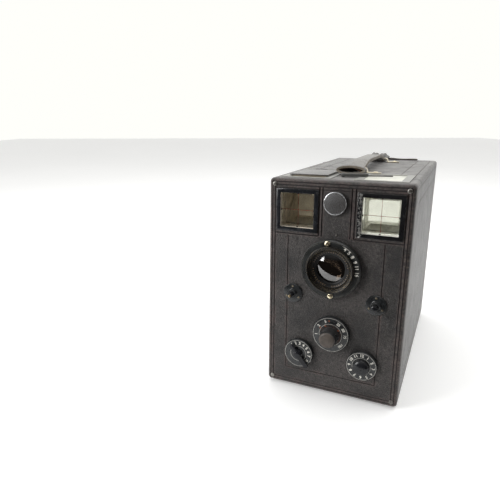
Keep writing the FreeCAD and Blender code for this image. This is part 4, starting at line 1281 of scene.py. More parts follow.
@dataclass
class Screws:
    """Round-head slotted screws and the small pin, modelled once and copied."""

    finish: Material
    pale: Material
    small: Material
    slot_wide: float = 0.2
    slot_deep: float = 0.6
    corner_inset: float = 4.9
    pin_height: float = 148.4
    flange_ring: float = 22.9
    guide_ring: float = 6.4
    guide_proud: float = 1.5
    bridge_inset: float = 2.0
    bridge_sunk: float = 0.8

    def pattern(self, dia: float, head: float) -> Piece:
        """One screw head about the origin, sizes in millimetres.

        Args:
            dia: Diameter of the head.
            head: Its height.

        Returns:
            The screw.
        """
        radius = dia / 2
        profile = [(radius * 0.5, -0.3), (radius * 0.5, 0), (radius, 0.02), (radius, head * 0.35),
                   (radius * 0.93, head * 0.62), (radius * 0.76, head * 0.84), (radius * 0.45, head * 0.97),
                   (radius * 0.12, head)]
        screw = turn("screw", profile, sides=40)
        half = dia * self.slot_wide / 2 * MM
        reach = dia * 0.7 * MM
        tool = block("saw", (-reach, -half, head * (1 - self.slot_deep) * MM), (reach, half, head * 2 * MM))
        carve(screw, tool)
        return soften(screw, 0.05 * MM, 1, 50)

    def set_of(self, name: str, dia: float, head: float, spots: Sequence[tuple[Vector, float]],
               facing: Facing) -> Piece:
        """A set of like screws.

        Args:
            name: The set's name.
            dia: Head diameter in millimetres.
            head: Head height in millimetres.
            spots: Place of each, and the way its slot stands in degrees.
            facing: The way the heads face.

        Returns:
            The screws as one piece.
        """
        pattern = self.pattern(dia, head)
        copies = []
        for spot, slot in spots:
            spun = facing.value @ about_z(slot)
            copies.append(copy_of(pattern, Matrix.Translation(spot) @ spun))
        scrap(pattern)
        return join(name, copies)

    def build(self) -> None:
        """The screws on the front, the flange, the guides and the bridges."""
        front = Span.of("front_cover")
        inset = self.corner_inset * MM
        corners = [(x, z) for x in (front.low.x + inset, front.high.x - inset)
                   for z in (front.low.z + inset, front.high.z - inset)]
        spots = [(Vector((x, front.low.y, z)), 35.0 + 50 * index) for index, (x, z) in enumerate(corners)]
        corner_set = self.set_of("corner_screws", 3.9, 0.9, spots, Facing.FRONT)
        pin = turn("pin", [(0.95, -0.2), (0.95, 0.3), (0.7, 0.55), (0.2, 0.65)], sides=24)
        put(pin, Vector((front.middle.x, front.low.y, front.low.z + self.pin_height * MM)), Facing.FRONT)
        both = join("front_screw_set", [corner_set, pin])
        hand_over(both, self.finish, "case", Slot.NICKEL, "front_screws")
        flange = Span.of("lens_flange")
        around = [(spot_round(flange.at(flange.low.y), self.flange_ring, angle), slot)
                  for angle, slot in ((97.5, 60.0), (273.5, -35.0))]
        hand_over(self.set_of("flange_screw_set", 5.0, 1.5, around, Facing.FRONT), self.pale, "case",
                  Slot.NICKEL,
                  "front_screws")
        guides = []
        for side in ("release", "time"):
            guide = Span.of(f"{side}_guide")
            centre = guide.at(front.low.y - self.guide_proud * MM)
            guides += [(spot_round(centre, self.guide_ring, angle), angle) for angle in (90, 210, 330)]
        hand_over(self.set_of("guide_screw_set", 1.7, 0.35, guides, Facing.FRONT), self.small, "case",
                  Slot.NICKEL,
                  "guide_screws")
        bridge = Span.of("bridge_screws")
        reach = self.bridge_inset * MM
        painted_peaks = [(x, y) for x in (bridge.low.x + reach, bridge.high.x - reach)
                for y in (bridge.low.y + reach, bridge.high.y - reach)]
        seats = [(Vector((x, y, bridge.high.z - self.bridge_sunk * MM)), 30 + 40 * index) for index,
                 (x, y) in enumerate(painted_peaks)]
        hand_over(self.set_of("bridge_screw_set", 4.0, 0.8, seats, Facing.UP), self.pale, "case", Slot.NICKEL,
                  "bridge_screws")


# ---- finders


@dataclass
class Finders:
    """Both reflex finders: frames, cross-hairs, window tabs, screens and the one lid."""

    frame_finishes: dict[str, Material]
    inner: dict[str, Material]
    screens: dict[str, Material]
    hair: Material
    plate: Material
    lid: Material
    hair_wide: float = 0.28

    def build_frame(self, side: str) -> None:
        """Front frame with its collar, mitred and softened.

        Args:
            side: left or right.
        """
        outer = Span.of(f"finder_frame_{side}")
        glass = Span.of(f"finder_glass_{side}")
        face = outer.low.y
        seat = Span.of("front_cover").low.y
        plate = block(f"front_frame_{side}", (outer.low.x, face, outer.low.z),
                      (outer.high.x, seat, outer.high.z))
        wall = 1.2 * MM
        collar = block("collar", (glass.low.x - wall, seat - 0.2 * MM, glass.low.z - wall),
                       (glass.high.x + wall, outer.high.y, glass.high.z + wall))
        carve(plate, collar, "UNION")
        gap = 0.1 * MM
        window = block("window", (glass.low.x - gap, face - MM, glass.low.z - gap),
                       (glass.high.x + gap, outer.high.y + MM, glass.high.z + gap))
        carve(plate, window)
        soften(plate, 0.28 * MM, 2)
        # The collar lining behind the glass takes the finder's tin: painted lit tin on the right, painted
        # shade tin on the left
        dress(plate, self.frame_finishes[side], self.inner[side])
        reach = Vector((glass.size.x / 2, 0, glass.size.z / 2)) + Vector((1, 0, 1)) * 0.5 * MM

        def inside(face: bpy.types.MeshPolygon) -> bool:
            """Whether a face lines the collar behind the glass."""
            off = face.center - glass.middle
            return face.center.y > glass.high.y and abs(off.x) < reach.x and abs(off.z) < reach.z

        paint_where(plate, inside)
        hand_over(plate, None, "case", Slot.BLACK if side == "right" else Slot.GUN, f"finder_frame_{side}")

    def build_hairs(self, side: str) -> None:
        """Red cross-hairs behind the glass.

        Args:
            side: left or right.
        """
        glass = Span.of(f"finder_glass_{side}")
        middle = glass.middle
        half = self.hair_wide * MM / 2
        back = glass.high.y + 0.05 * MM
        low = (middle.x - half, back, glass.low.z)
        upright = block(f"cross_hairs_{side}", low, (middle.x + half, back + half, glass.high.z))
        level = block("level", (glass.low.x, back, middle.z - half),
                      (glass.high.x, back + half, middle.z + half))
        hairs = soften(carve(upright, level, "UNION"), 0.04 * MM, 1)
        hand_over(hairs, self.hair, "case", Slot.GLASS)

    def build_notches(self, side: str) -> None:
        """Four black tabs in the middles of the window's edges.

        Args:
            side: left or right.
        """
        glass = Span.of(f"finder_glass_{side}")
        tab = 0.75 * MM
        front = glass.low.y - 0.5 * MM
        tabs = []
        for x, z in ((glass.low.x, glass.middle.z), (glass.high.x, glass.middle.z),
                     (glass.middle.x, glass.low.z), (glass.middle.x, glass.high.z)):
            tabs.append(block("tab", (x - tab, front, z - tab), (x + tab, glass.low.y - 0.02 * MM, z + tab)))
        piece = soften(join(f"window_tabs_{side}", tabs), 0.3 * MM, 3)
        hand_over(piece, self.plate, "case", Slot.BLACK)

    def build_screen(self, side: str) -> None:
        """Ground-glass screen with rounded edges.

        Args:
            side: left or right.
        """
        both = Span.of("finder_screens")
        box = Span.of(f"finder_box_{side}")
        top = Span.of("case_cover").high.z - 0.1 * MM
        piece = block(f"screen_{side}", (box.low.x, box.low.y, both.low.z), (box.high.x, box.high.y, top))
        soften(piece, 0.3 * MM, 2)
        nodes = ("finder_screens",) if side == "left" else ()
        # The screen's finish glows: painted light, not a lamp
        hand_over(piece, self.screens[side], "case", Slot.SCREEN, *nodes)

    def build_lid(self) -> None:
        """The lid over the left screen: a leather-faced plate with its hinge knuckle."""
        span = Span.of("finder_lid")
        pin = Span.of("lid_pin")
        radius = pin.middle.z
        thick = 1.1 * MM
        rear = pin.middle.y - 1.4 * MM
        leaf = block("lid_plate", (span.low.x, span.low.y, radius - thick / 2),
                     (span.high.x, rear, radius + thick / 2))
        with editing(leaf):
            pick(leaf, "EDGE", lambda middle, way: abs(way.z) > 0.9 and middle.y < span.middle.y)
            bpy.ops.mesh.bevel(offset=2.0 * MM, segments=4, affect="EDGES")
            pick(leaf, "FACE", lambda middle, normal: normal.z > 0.9)
            bpy.ops.mesh.inset(thickness=1.6 * MM, depth=0)
            bpy.ops.mesh.inset(thickness=0.3 * MM, depth=-0.16 * MM)
            bpy.ops.mesh.inset(thickness=0.35 * MM, depth=0.16 * MM)
        third = span.size.x / 3
        tongue = block("tongue", (span.middle.x - third / 2, rear - 0.5 * MM, radius - thick / 2),
                       (span.middle.x + third / 2, pin.middle.y, radius + thick / 2))
        barrel = turn("barrel", [(1.1, -third / 2 / MM), (1.1, third / 2 / MM)], sides=32)
        put(barrel, Vector((span.middle.x, pin.middle.y, radius)), Facing.RIGHT)
        knuckle = carve(tongue, barrel, "UNION")
        bore = turn("bore", [(0.56, -third / MM), (0.56, third / MM)], sides=32)
        carve(knuckle, put(bore, Vector((span.middle.x, pin.middle.y, radius)), Facing.RIGHT))
        lid = join("finder_lid_plate", [soften(leaf, 0.12 * MM, 2, 50), knuckle])
        hand_over(lid, self.lid, "lid", Slot.LEATHER, "finder_lid")

    def build(self) -> None:
        """Both finders and the lid."""
        for side in SIDES:
            self.build_frame(side)
            self.build_hairs(side)
            self.build_notches(side)
            self.build_screen(side)
        self.build_lid()


# ---- lens


@dataclass
class LensSet:
    """Flange with its numbers, aperture ring, cell with its engraved ring, and front glass."""

    flange_finish: Material
    ring_finish: Material
    cell_finish: Material
    marks: Material
    brown_marks: Material
    glass: Material
    numbers: dict[float, str] = field(default_factory=lambda: {
        58: "4", 47: "5", 36: "8", 24: "9", 12: "11", -2: "16"})
    flange: Span = field(default_factory=lambda: Span.of("lens_flange"))

    @property
    def seat(self) -> Vector:
        """Where the lens axis meets the front."""
        return self.flange.at(Span.of("front_cover").low.y)

    def build_flange(self) -> None:
        """Low flange with a turned step near its edge."""
        outer = self.flange.size.x / 2 / MM
        proud = (self.seat.y - self.flange.low.y) / MM
        profile = [(13.3, 0), (outer, 0), (outer, proud - 1.5), (outer - 0.25, proud - 1.2),
                   (outer - 0.25, proud - 0.4),
                   (outer - 0.6, proud), (outer - 1.0, proud), (outer - 1.2, proud - 0.25),
                   (outer - 1.4, proud),
                   (20.56, proud), (20.56, 1.2), (13.3, 1.2)]
        piece = put(turn("numbered_flange", profile, True), self.seat, Facing.FRONT)
        hand_over(piece, self.flange_finish, "case", Slot.BLACK, "lens_flange")
        digits = []
        for angle, text in self.numbers.items():
            digits.append(numeral(text, 3.0, 22.6, angle))
        digits.append(self.arc(24.0, 0.32, 66.0, 84.0))
        engraving = put(join("aperture_numbers", digits), self.seat - Vector((0, proud * MM, 0)),
                        Facing.FRONT)
        hand_over(engraving, self.marks, "case", Slot.NICKEL)

    def arc(self, radius: float, width: float, start: float, end: float) -> Piece:
        """A thin raised arc about the origin, spun from a small square. Millimetres and degrees.

        Args:
            radius: Radius of the arc.
            width: Width of its line.
            start: Angle it starts at.
            end: Angle it ends at.

        Returns:
            The arc.
        """
        bpy.ops.mesh.primitive_plane_add(size=1, rotation=(math.radians(90), 0, 0))
        piece = named("arc")
        settle(piece, Matrix.Translation((radius * MM, 0,
                                          0)) @ Matrix.Diagonal((width * MM, 1, 0.06 * MM, 1)))
        settle(piece, about_z(start))
        with editing(piece):
            bpy.ops.mesh.spin(steps=16, angle=math.radians(end - start), center=(0, 0, 0), axis=(0, 0, 1))
            bpy.ops.mesh.select_all(action="SELECT")
            bpy.ops.mesh.edge_face_add()
        return tidy(piece)

    def build_ring(self) -> None:
        """Aperture ring: a milled rim, a worn lip and a stepped recess."""
        profile = [(16.8, 1.3), (20.5, 1.3), (20.5, 7.5), (20.3, 8.0), (19.9, 8.2), (19.4, 8.2),
                   (19.0, 7.9), (18.8, 6.6),
                   (18.3, 6.4), (18.2, 5.6), (17.6, 5.4), (17.5, 4.9), (16.8, 4.8)]
        piece = put(turn("aperture_turning_ring", profile, True), self.seat, Facing.FRONT)
        hand_over(piece, self.ring_finish, "aperture", Slot.BLACK, "aperture_ring")

    def build_cell(self) -> None:
        """Lens cell: a dished black face with its ring of marks, and the barrel behind."""
        profile = [(10.5, -13), (13.1, -13), (13.1, 1.2), (16.7, 1.2), (16.7, 4.0), (16.5, 4.2),
                   (15.9, 4.2), (15.6, 3.9),
                   (14.9, 3.7), (13.3, 3.1), (12.9, 3.05), (12.5, 2.8), (12.05, 2.1), (12.05, -1), (10.5, -1)]
        piece = put(turn("lens_cell", profile, True), self.seat, Facing.FRONT)
        hand_over(piece, self.cell_finish, "case", Slot.BLACK, "lens_barrel")
        ticks = []
        pattern = block("tick", (-0.24 * MM, -0.6 * MM, 0), (0.24 * MM, 0.6 * MM, 0.12 * MM))
        pattern = soften(pattern, 0.04 * MM, 1)
        for index in range(46):
            if index % 12 > 9:
                continue
            angle = math.radians(index * 360 / 46)
            place = Matrix.Rotation(angle, 4, "Z") @ Matrix.Translation((0, 15.0 * MM, 3.7 * MM))
            ticks.append(copy_of(pattern, place @ Matrix.Rotation(math.radians(16), 4, "X")))
        scrap(pattern)
        hand_over(put(join("cell_marks", ticks), self.seat, Facing.FRONT), self.brown_marks, "case",
                  Slot.BRASS)

    def build_glass(self) -> None:
        """Front glass with its domed face and a ground edge."""
        radius, crown, back = 12.0, 3.9, -1.0
        curve = 34.0
        rings = 10
        profile = [(radius, back)]
        for index in range(rings + 1):
            out = radius * (1 - index / rings) if index < rings else 0.15
            profile.append((out, crown - curve + math.sqrt(curve ** 2 - out ** 2)))
        piece = put(turn("front_element", profile), self.seat, Facing.FRONT)
        hand_over(piece, self.glass, "case", Slot.GLASS, "lens_front_glass")

    def build(self) -> None:
        """The whole lens mount."""
        self.build_flange()
        self.build_ring()
        self.build_cell()
        self.build_glass()


# ---- controls


@dataclass
class Controls:
    """Dials with their circles and numbers, the knobs on them, the button and the plungers."""

    gloss: Material
    dial_finish: Material
    rust: Material
    knob_face: Material
    worn_knob: Material
    button_finish: Material
    lever_finish: Material
    marks: Material
    circles: Material
    red_marks: Material
    brass: Material
    front: float = field(default_factory=lambda: Span.of("front_cover").low.y)

    def seat(self, node: str) -> Vector:
        """Where a node's axis meets the front."""
        return Span.of(node).at(self.front)

    def dial(self, node: str, circles: Pair, numbers: dict[float, str], height: float, radius: float) -> None:
        """One dial: plate, two painted circles and its numbers.

        Args:
            node: The CAD dial it stands for.
            circles: Radii of the outer and inner circles in millimetres.
            numbers: Text at each angle in degrees.
            height: Height of a digit in millimetres.
            radius: Radius of the numbers' middles in millimetres.
        """
        span = Span.of(node)
        outer = span.size.x / 2 / MM
        proud = span.size.y / MM
        profile = [(2.06, 0), (outer, 0), (outer, proud - 1.1), (outer - 0.15, proud - 0.75),
                   (outer - 0.6, proud - 0.1),
                   (outer - 0.95, proud), (2.06, proud)]
        seat = self.seat(node)
        plate = put(turn(f"{node}_plate", profile, True), seat, Facing.FRONT)
        hand_over(plate, self.dial_finish, "case", Slot.BLACK, node)
        face = seat - Vector((0, proud * MM, 0))
        rings = join(f"{node}_circles", [rim(circle, 0.34, 0.05) for circle in circles])
        hand_over(put(rings, face, Facing.FRONT), self.circles, "case", Slot.NICKEL)
        digits = [numeral(text, height, radius, angle) for angle, text in numbers.items()]
        hand_over(put(join(f"{node}_numbers", digits), face, Facing.FRONT), self.marks, "case", Slot.NICKEL)

    def build_dials(self) -> None:
        """The speed dial in the middle, and the mode and counter dials beside it."""
        speeds = {186: "1", 146: "2", 112: "5", 58: "25", 30: "50", 2: "75", 318: "100"}
        self.dial("speed_dial", (15.5, 10.0), speeds, 2.3, 12.7)
        modes = {128: "1", 106: "2", 84: "3", 62: "4", 40: "5", 18: "6", 356: "7", 326: "8", 304: "9"}
        self.dial("mode_dial", (12.6, 7.3), modes, 2.6, 10.0)
        counts = {90 - 30 * index: str(index) for index in range(1, 13)}
        self.dial("counter_dial", (12.6, 7.9), counts, 2.5, 10.2)
        spots = []
        for angle, radius in ((97, 13.0), (122, 9.0), (150, 10.6), (38, 8.4)):
            dot = turn("dot", [(0.7, 0), (0.7, 0.06), (0.4, 0.1)], sides=16)
            way = math.radians(angle)
            spots.append(settle(dot, Matrix.Translation((radius * math.cos(way) * MM,
                                                         radius * math.sin(way) * MM, 0))))
        face = self.seat("speed_dial") - Vector((0, Span.of("speed_dial").size.y, 0))
        hand_over(put(join("speed_dial_dots", spots), face, Facing.FRONT), self.red_marks, "case", Slot.BRASS)
        hand_over(put(rim(8.8, 1.9, 0.03), face, Facing.FRONT), self.rust, "case", Slot.BRASS)

    def shafted(self, node: str, name: str, profile: Sequence[Pair]) -> Piece:
        """A knob turned with its shaft, in place."""
        shaft = [(2.0, -12.0), (2.0, 4.2)]
        return put(turn(name, [*shaft, *profile]), self.seat(node), Facing.FRONT)

    def build_knobs(self) -> None:
        """The tall speed knob, the domed counter knob and the lever."""
        ridges = [(7.8, 4.3), (7.8, 5.2), (7.55, 5.5), (7.55, 6.1), (7.8, 6.4), (7.7, 13.0), (7.45, 14.6),
                  (7.0, 15.8),
                  (6.4, 16.5), (5.9, 16.85), (5.5, 17.0), (1.2, 16.9), (0.2, 16.9)]
        tall = self.shafted("speed_knob", "speed_turning_knob", ridges)
        dress(tall, self.worn_knob, self.knob_face)
        paint_where(tall, lambda face: face.center.y < self.front - 15.6 * MM)
        hand_over(tall, None, "speed", Slot.BLACK, "speed_knob")
        radius = 7.15
        dome = [(radius, 4.3), (radius, 6.3)]
        for step in range(1, 9):
            around = math.pi / 2 * step / 8
            dome.append((max(radius * math.cos(around), 0.2), 6.3 + 3.3 * math.sin(around)))
        hand_over(self.shafted("counter_knob", "counter_turning_knob", dome), self.gloss, "counter",
                  Slot.BLACK,
                  "counter_knob")
        self.build_lever()

    def build_lever(self) -> None:
        """A flat bar on a small post, which points across the left dial."""
        bpy.ops.mesh.primitive_cube_add(size=1)
        piece = named("mode_pointer")
        long_end, short_end, thick = 14.6, 10.6, 1.6
        size = Vector((long_end + short_end, 4.9, thick)) * MM
        middle = Vector(((long_end - short_end) / 2, 0, 6.4)) * MM
        settle(piece, Matrix.Translation(middle) @ Matrix.Diagonal((*size, 1)))
        with editing(piece):
            pick(piece, "FACE", lambda spot, normal: abs(normal.x) > 0.9)
            bpy.ops.transform.resize(value=(1, 0.86, 1), center_override=(0, 0, 0.0064))
            pick(piece, "EDGE", lambda spot, way: abs(way.z) > 0.9)
            bpy.ops.mesh.bevel(offset=0.9 * MM, segments=3, affect="EDGES")
        post = turn("post", [(2.0, -12), (2.0, 4.2), (4.3, 4.3), (4.3, 5.4), (3.3, 5.9), (3.3, 7.6),
                             (3.0, 8.3), (2.2, 8.6),
                             (0.2, 8.6)])
        carve(piece, post, "UNION")
        settle(piece, about_z(-51.5))
        soften(piece, 0.15 * MM, 2, 40)
        put(piece, self.seat("mode_dial"), Facing.FRONT)
        hand_over(piece, self.lever_finish, "mode", Slot.BLACK, "mode_lever")

    def build_button(self) -> None:
        """Round button between the finders: a shallow dish with a bright rim."""
        profile = [(2.5, -12), (2.5, 1.9), (9.6, 1.9), (9.6, 2.45), (9.45, 2.75), (9.15, 2.85),
                   (8.95, 2.7), (8.6, 2.72),
                   (6.0, 2.98), (3.0, 3.15), (0.2, 3.2)]
        piece = put(turn("finder_button", profile), self.seat("push_button"), Facing.FRONT)
        hand_over(piece, self.button_finish, "button", Slot.GUN, "push_button")

    def build_plungers(self) -> None:
        """The release and time plungers in their guides."""
        guide = [(2.36, 0), (8.7, 0), (8.7, 1.0), (8.45, 1.35), (8.0, 1.5), (4.2, 1.5), (3.8, 1.8),
                 (3.7, 4.3), (3.45, 4.6),
                 (2.36, 4.6)]
        posts = {
            "release": [(1.3, -12), (1.3, -1), (2.3, -1), (2.2, 6.4), (1.9, 8.2), (1.3, 8.9), (1.2, 10.4),
                        (1.0, 10.8),
                        (0.6, 11.0), (0.15, 11.0)],
            "time": [(1.3, -12), (1.3, -1), (2.3, -1), (2.2, 7.5), (2.3, 7.7), (2.65, 7.9), (2.8, 8.4),
                     (2.8, 9.0), (2.6, 9.6),
                     (2.1, 10.0), (1.2, 10.2), (0.15, 10.25)],
        }
        for side, post in posts.items():
            plate = put(turn(f"{side}_guide_plate", guide, True), self.seat(f"{side}_guide"), Facing.FRONT)
            hand_over(plate, self.dial_finish, "case", Slot.BLACK, f"{side}_guide")
            rod = put(turn(f"{side}_button", post, sides=48), self.seat(f"{side}_plunger"), Facing.FRONT)
            dress(rod, self.gloss, self.brass)
            tip = self.front - 9.0 * MM
            paint_where(rod, lambda face: side == "release" and face.center.y < tip)
            hand_over(rod, None, side, Slot.BLACK, f"{side}_plunger")

    def build(self) -> None:
        """All the controls."""
        self.build_dials()
        self.build_knobs()
        self.build_button()
        self.build_plungers()


# ---- springs


@dataclass
class Springs:
    """Plunger coils and the pressure plate's leaf."""

    steel: Material
    wire: float = 0.3
    turns: int = 6
    stroke: float = 3.0

    def press(self, piece: Piece, span: Span) -> None:
        """Give a spring its own mesh.

        Args:
            piece: The spring.
            span: The box it fills; not used.
        """
        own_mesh(piece)

    def build_coil(self, side: str) -> None:
        """A small circle wound round a plunger's axis by a screw modifier.

        Args:
            side: release or time.
        """
        span = Span.of(f"{side}_spring")
        radius = span.size.x / 2 - self.wire * MM
        pitch = (span.size.y - 2 * self.wire * MM) / self.turns
        bpy.ops.mesh.primitive_circle_add(vertices=8, radius=self.wire * MM,
                                          rotation=(math.radians(90), 0, 0))
        coil = named(f"{side}_coil")
        settle(coil, Matrix.Translation((radius, 0, self.wire * MM)))
        finish_with(coil, "SCREW", axis="Z", angle=math.tau, screw_offset=pitch, iterations=self.turns,
                    steps=24,
                    render_steps=24, use_smooth_shade=True)
        with editing(coil):
            bpy.ops.mesh.select_all(action="DESELECT")
            bpy.ops.mesh.select_non_manifold()
            bpy.ops.mesh.edge_face_add()
        tidy(coil)
        put(coil, span.at(span.low.y), Facing.BACK)
        hand_over(coil, self.steel, "case", Slot.STEEL, f"{side}_spring")
        self.press(coil, span)

    def build_leaf(self) -> None:
        """The bowed strip behind the pressure plate, merged from its node."""
        leaf = copy_of(frame["nodes"]["pressure_spring"], Matrix.Identity(4))
        leaf.name = leaf.data.name = "pressure_leaf"
        hand_over(tidy(leaf), self.steel, "door", Slot.STEEL, "pressure_spring")
        self.press(leaf, Span.of("pressure_spring"))

    def build(self) -> None:
        """Both coils and the leaf."""
        for side in ("release", "time"):
            self.build_coil(side)
        self.build_leaf()


# ---- top


@dataclass
class TopFittings:
    """Handle strap with its end loops and bridges, the swing arm, and the door's pull strap."""

    strap: Material
    loop_finish: Material
    cut_edge: Material
    torn: Material
    bridge_finish: Material
    arm_finish: Material
    tab: Material
    strap_span: Span = field(default_factory=lambda: Span.of("handle_strap"))
    bridges: Span = field(default_factory=lambda: Span.of("handle_bridges"))
    top: float = field(default_factory=lambda: Span.of("case_cover").high.z)

    def strap_lift(self, back: float) -> float:
        """Height of the strap's under side above the top, at a place between its ends, 0 to 1."""
        rise = min(back, 1 - back) / 0.3
        return (0.6 + 6.9 * (0.5 - 0.5 * math.cos(math.pi * min(max(rise, 0.0), 1.0)))) * MM

    def build_strap(self) -> None:
        """The grip: a band extruded step by step along its arch, with a crease along each edge."""
        centre = self.strap_span.middle.x
        wide, thick = 14.0 * MM, 3.2 * MM
        start, end = self.bridges.low.y - 5 * MM, self.bridges.high.y + 5 * MM
        low = self.top + self.strap_lift(0)
        bpy.ops.mesh.primitive_plane_add(size=1, rotation=(math.radians(90), 0, 0))
        piece = named("handle_grip")
        settle(piece, Matrix.Translation((centre, start,
                                          low + thick / 2)) @ Matrix.Diagonal((wide, 1, thick, 1)))
        steps = 48
        with editing(piece):
            before = self.strap_lift(0)
            for step in range(1, steps + 1):
                lift = self.strap_lift(step / steps)
                extrude((0, (end - start) / steps, lift - before))
                before = lift
            pick(piece, "FACE", lambda spot, normal: normal.z > 0.7 and abs(spot.x - centre) < MM)
            bpy.ops.mesh.inset(thickness=1.5 * MM, depth=0, use_boundary=True)
            bpy.ops.mesh.inset(thickness=0.3 * MM, depth=-0.3 * MM)
            bpy.ops.mesh.inset(thickness=0.4 * MM, depth=0.55 * MM)
            bpy.ops.mesh.inset(thickness=2.2 * MM, depth=0.35 * MM)
        tidy(piece)
        soften(piece, 0.75 * MM, 3, 60)
        ends = join("strap_end_loops", [self.end_loop(True), self.end_loop(False)])
        dress(ends, self.loop_finish, self.cut_edge)
        paint_where(ends, lambda face: face.normal.y < -0.75)
        hand_over(ends, None, "case", Slot.STRAP, "handle_strap")
        dress(piece, self.strap, self.cut_edge)
        paint_where(piece, lambda face: abs(face.normal.x) > 0.5)
        hand_over(piece, None, "case", Slot.STRAP, "handle_strap")

    def end_loop(self, at_front: bool) -> Piece:
        """A strap end folded back on itself, seen from its end as a flattened oval loop.

        Args:
            at_front: The front loop; otherwise the taller, crumpled rear one.

        Returns:
            The loop.
        """
        span = self.strap_span
        wide, tall, wall = (26.6 * MM, 8.7 * MM, 1.9 * MM) if at_front else (27.0 * MM, 9.6 * MM, 1.6 * MM)
        bpy.ops.mesh.primitive_circle_add(vertices=64, radius=0.5, rotation=(math.radians(90), 0, 0))
        piece = named("strap_loop")
        front = span.low.y - 5.5 * MM if at_front else span.high.y
        way = 1 if at_front else -1
        foot = self.top + 0.5 * MM
        aside = 0.3 * MM if at_front else -4.5 * MM
        middle = Vector((span.middle.x + aside, front, foot + tall / 2))
        settle(piece, Matrix.Translation(middle) @ Matrix.Diagonal((wide, 1, tall, 1)))
        steps = ((1.2, 1.02, 1.03), (4.0, 1.0, 1.0), (6.0, 0.97, 0.92), (5.0, 0.9, 0.74), (2.6, 0.76, 0.52))
        across, up = 1.0, 1.0
        with editing(piece):
            bpy.ops.transform.resize(value=(0.96, 1, 0.94), center_override=(middle.x, front, foot))
            for forward, new_across, new_up in steps:
                extrude((0, forward * MM * way, 0))
                scale = (new_across / across, 1, new_up / up)
                bpy.ops.transform.resize(value=scale, center_override=(middle.x, middle.y, foot))
                across, up = new_across, new_up
            bpy.ops.mesh.select_all(action="SELECT")
            bpy.ops.mesh.normals_make_consistent(inside=False)
        if not at_front:
            for point in piece.data.vertices:
                side = (point.co.x - middle.x) / (13 * MM)
                lift = (point.co.z - foot) / tall
                sunk = 1.2 + 0.9 * math.sin(side * 7.0 + 0.8) + 0.6 * math.sin(side * 17.0)
                point.co.z -= lift * sunk * MM
                point.co.y += lift * math.sin(side * 8.0) * 1.2 * MM
        finish_with(piece, "SOLIDIFY", thickness=wall, offset=-1.0, use_even_offset=True)
        tidy(piece)
        soften(piece, 0.5 * MM, 3, 50)
        return piece

    def build_torn_lining(self) -> None:
        """Ragged brown leather inside the front loop."""
        span = self.strap_span
        bpy.ops.mesh.primitive_grid_add(x_subdivisions=36, y_subdivisions=10, size=1)
        piece = named("torn_lining")
        middle = Vector((span.middle.x - 1.0 * MM, span.low.y + 0.4 * MM, self.top + 6.4 * MM))
        settle(piece, Matrix.Translation(middle) @ Matrix.Diagonal((21.0 * MM, 9.5 * MM, 1, 1)))
        for point in piece.data.vertices:
            across = (point.co.x - middle.x) / (10 * MM)
            back = (point.co.y - middle.y) / (4.25 * MM)
            ragged = math.sin(across * 9.1) * 0.7 + math.sin(across * 23.7 + 1.3) * 0.4
            wave = 0.5 * math.sin(across * 4.3 + 0.6) + 0.4 * math.sin(back * 3.0)
            point.co.z += (wave - 2.4 * across ** 2) * MM
            if back < -0.6:
                point.co.y += ragged * 0.8 * MM
                point.co.z += (0.5 - 0.3 * ragged) * MM
        finish_with(piece, "SOLIDIFY", thickness=0.9 * MM, offset=0.0)
        finish_with(piece, "SUBSURF", levels=1, render_levels=1)
        hand_over(tidy(piece), self.torn, "case", Slot.STRAP)

    def build_bridges(self) -> None:
        """Two metal bridges with tapered feet, which hold the strap down."""
        half = self.bridges.size.x / 2 / MM
        wide = 7.0
        rise = self.bridges.size.z / MM - 2.4
        path = [(-half, 0.0), (-half + 4, 0.0), (-half + 9.5, 0.0), (-11.0, 0.0), (-10.2, 0.2),
                (-9.7, 1.0), (-9.4, rise - 1.4),
                (-8.9, rise - 0.5), (-7.8, rise)]
        path += [(-across, up) for across, up in reversed(path)]
        pieces = []
        for back in (self.bridges.low.y, self.bridges.high.y - wide * MM):
            bpy.ops.mesh.primitive_plane_add(size=1)
            piece = named("bridge")
            first = path[0]
            spot = Vector((self.bridges.middle.x, back + wide * MM / 2, self.top))
            with editing(piece):
                pick(piece, "EDGE", lambda middle, way: middle.x > 0.4)
                bpy.ops.mesh.select_mode(type="VERT")
                bpy.ops.mesh.delete(type="VERT")
                bpy.ops.mesh.select_all(action="SELECT")
                bpy.ops.transform.translate(value=(0.5, 0, 0))
                bpy.ops.transform.resize(value=(1, wide * MM, 1), center_override=(0, 0, 0))
                bpy.ops.transform.translate(value=(first[0] * MM, 0, first[1] * MM))
                for before, after in zip(path, path[1:]):
                    extrude(((after[0] - before[0]) * MM, 0, (after[1] - before[1]) * MM))
            for point in piece.data.vertices:
                reach = (abs(point.co.x) / MM - (half - 9.5)) / 9.5
                if reach > 0:
                    point.co.y *= 1 - 0.55 * reach ** 1.5
            put(piece, spot)
            tidy(piece)
            finish_with(piece, "SOLIDIFY", thickness=1.0 * MM, offset=1.0, use_even_offset=True)
            tidy(piece)
            pieces.append(soften(piece, 0.25 * MM, 2, 50))
        hand_over(join("handle_bridge_pair", pieces), self.bridge_finish, "case", Slot.NICKEL,
                  "handle_bridges")

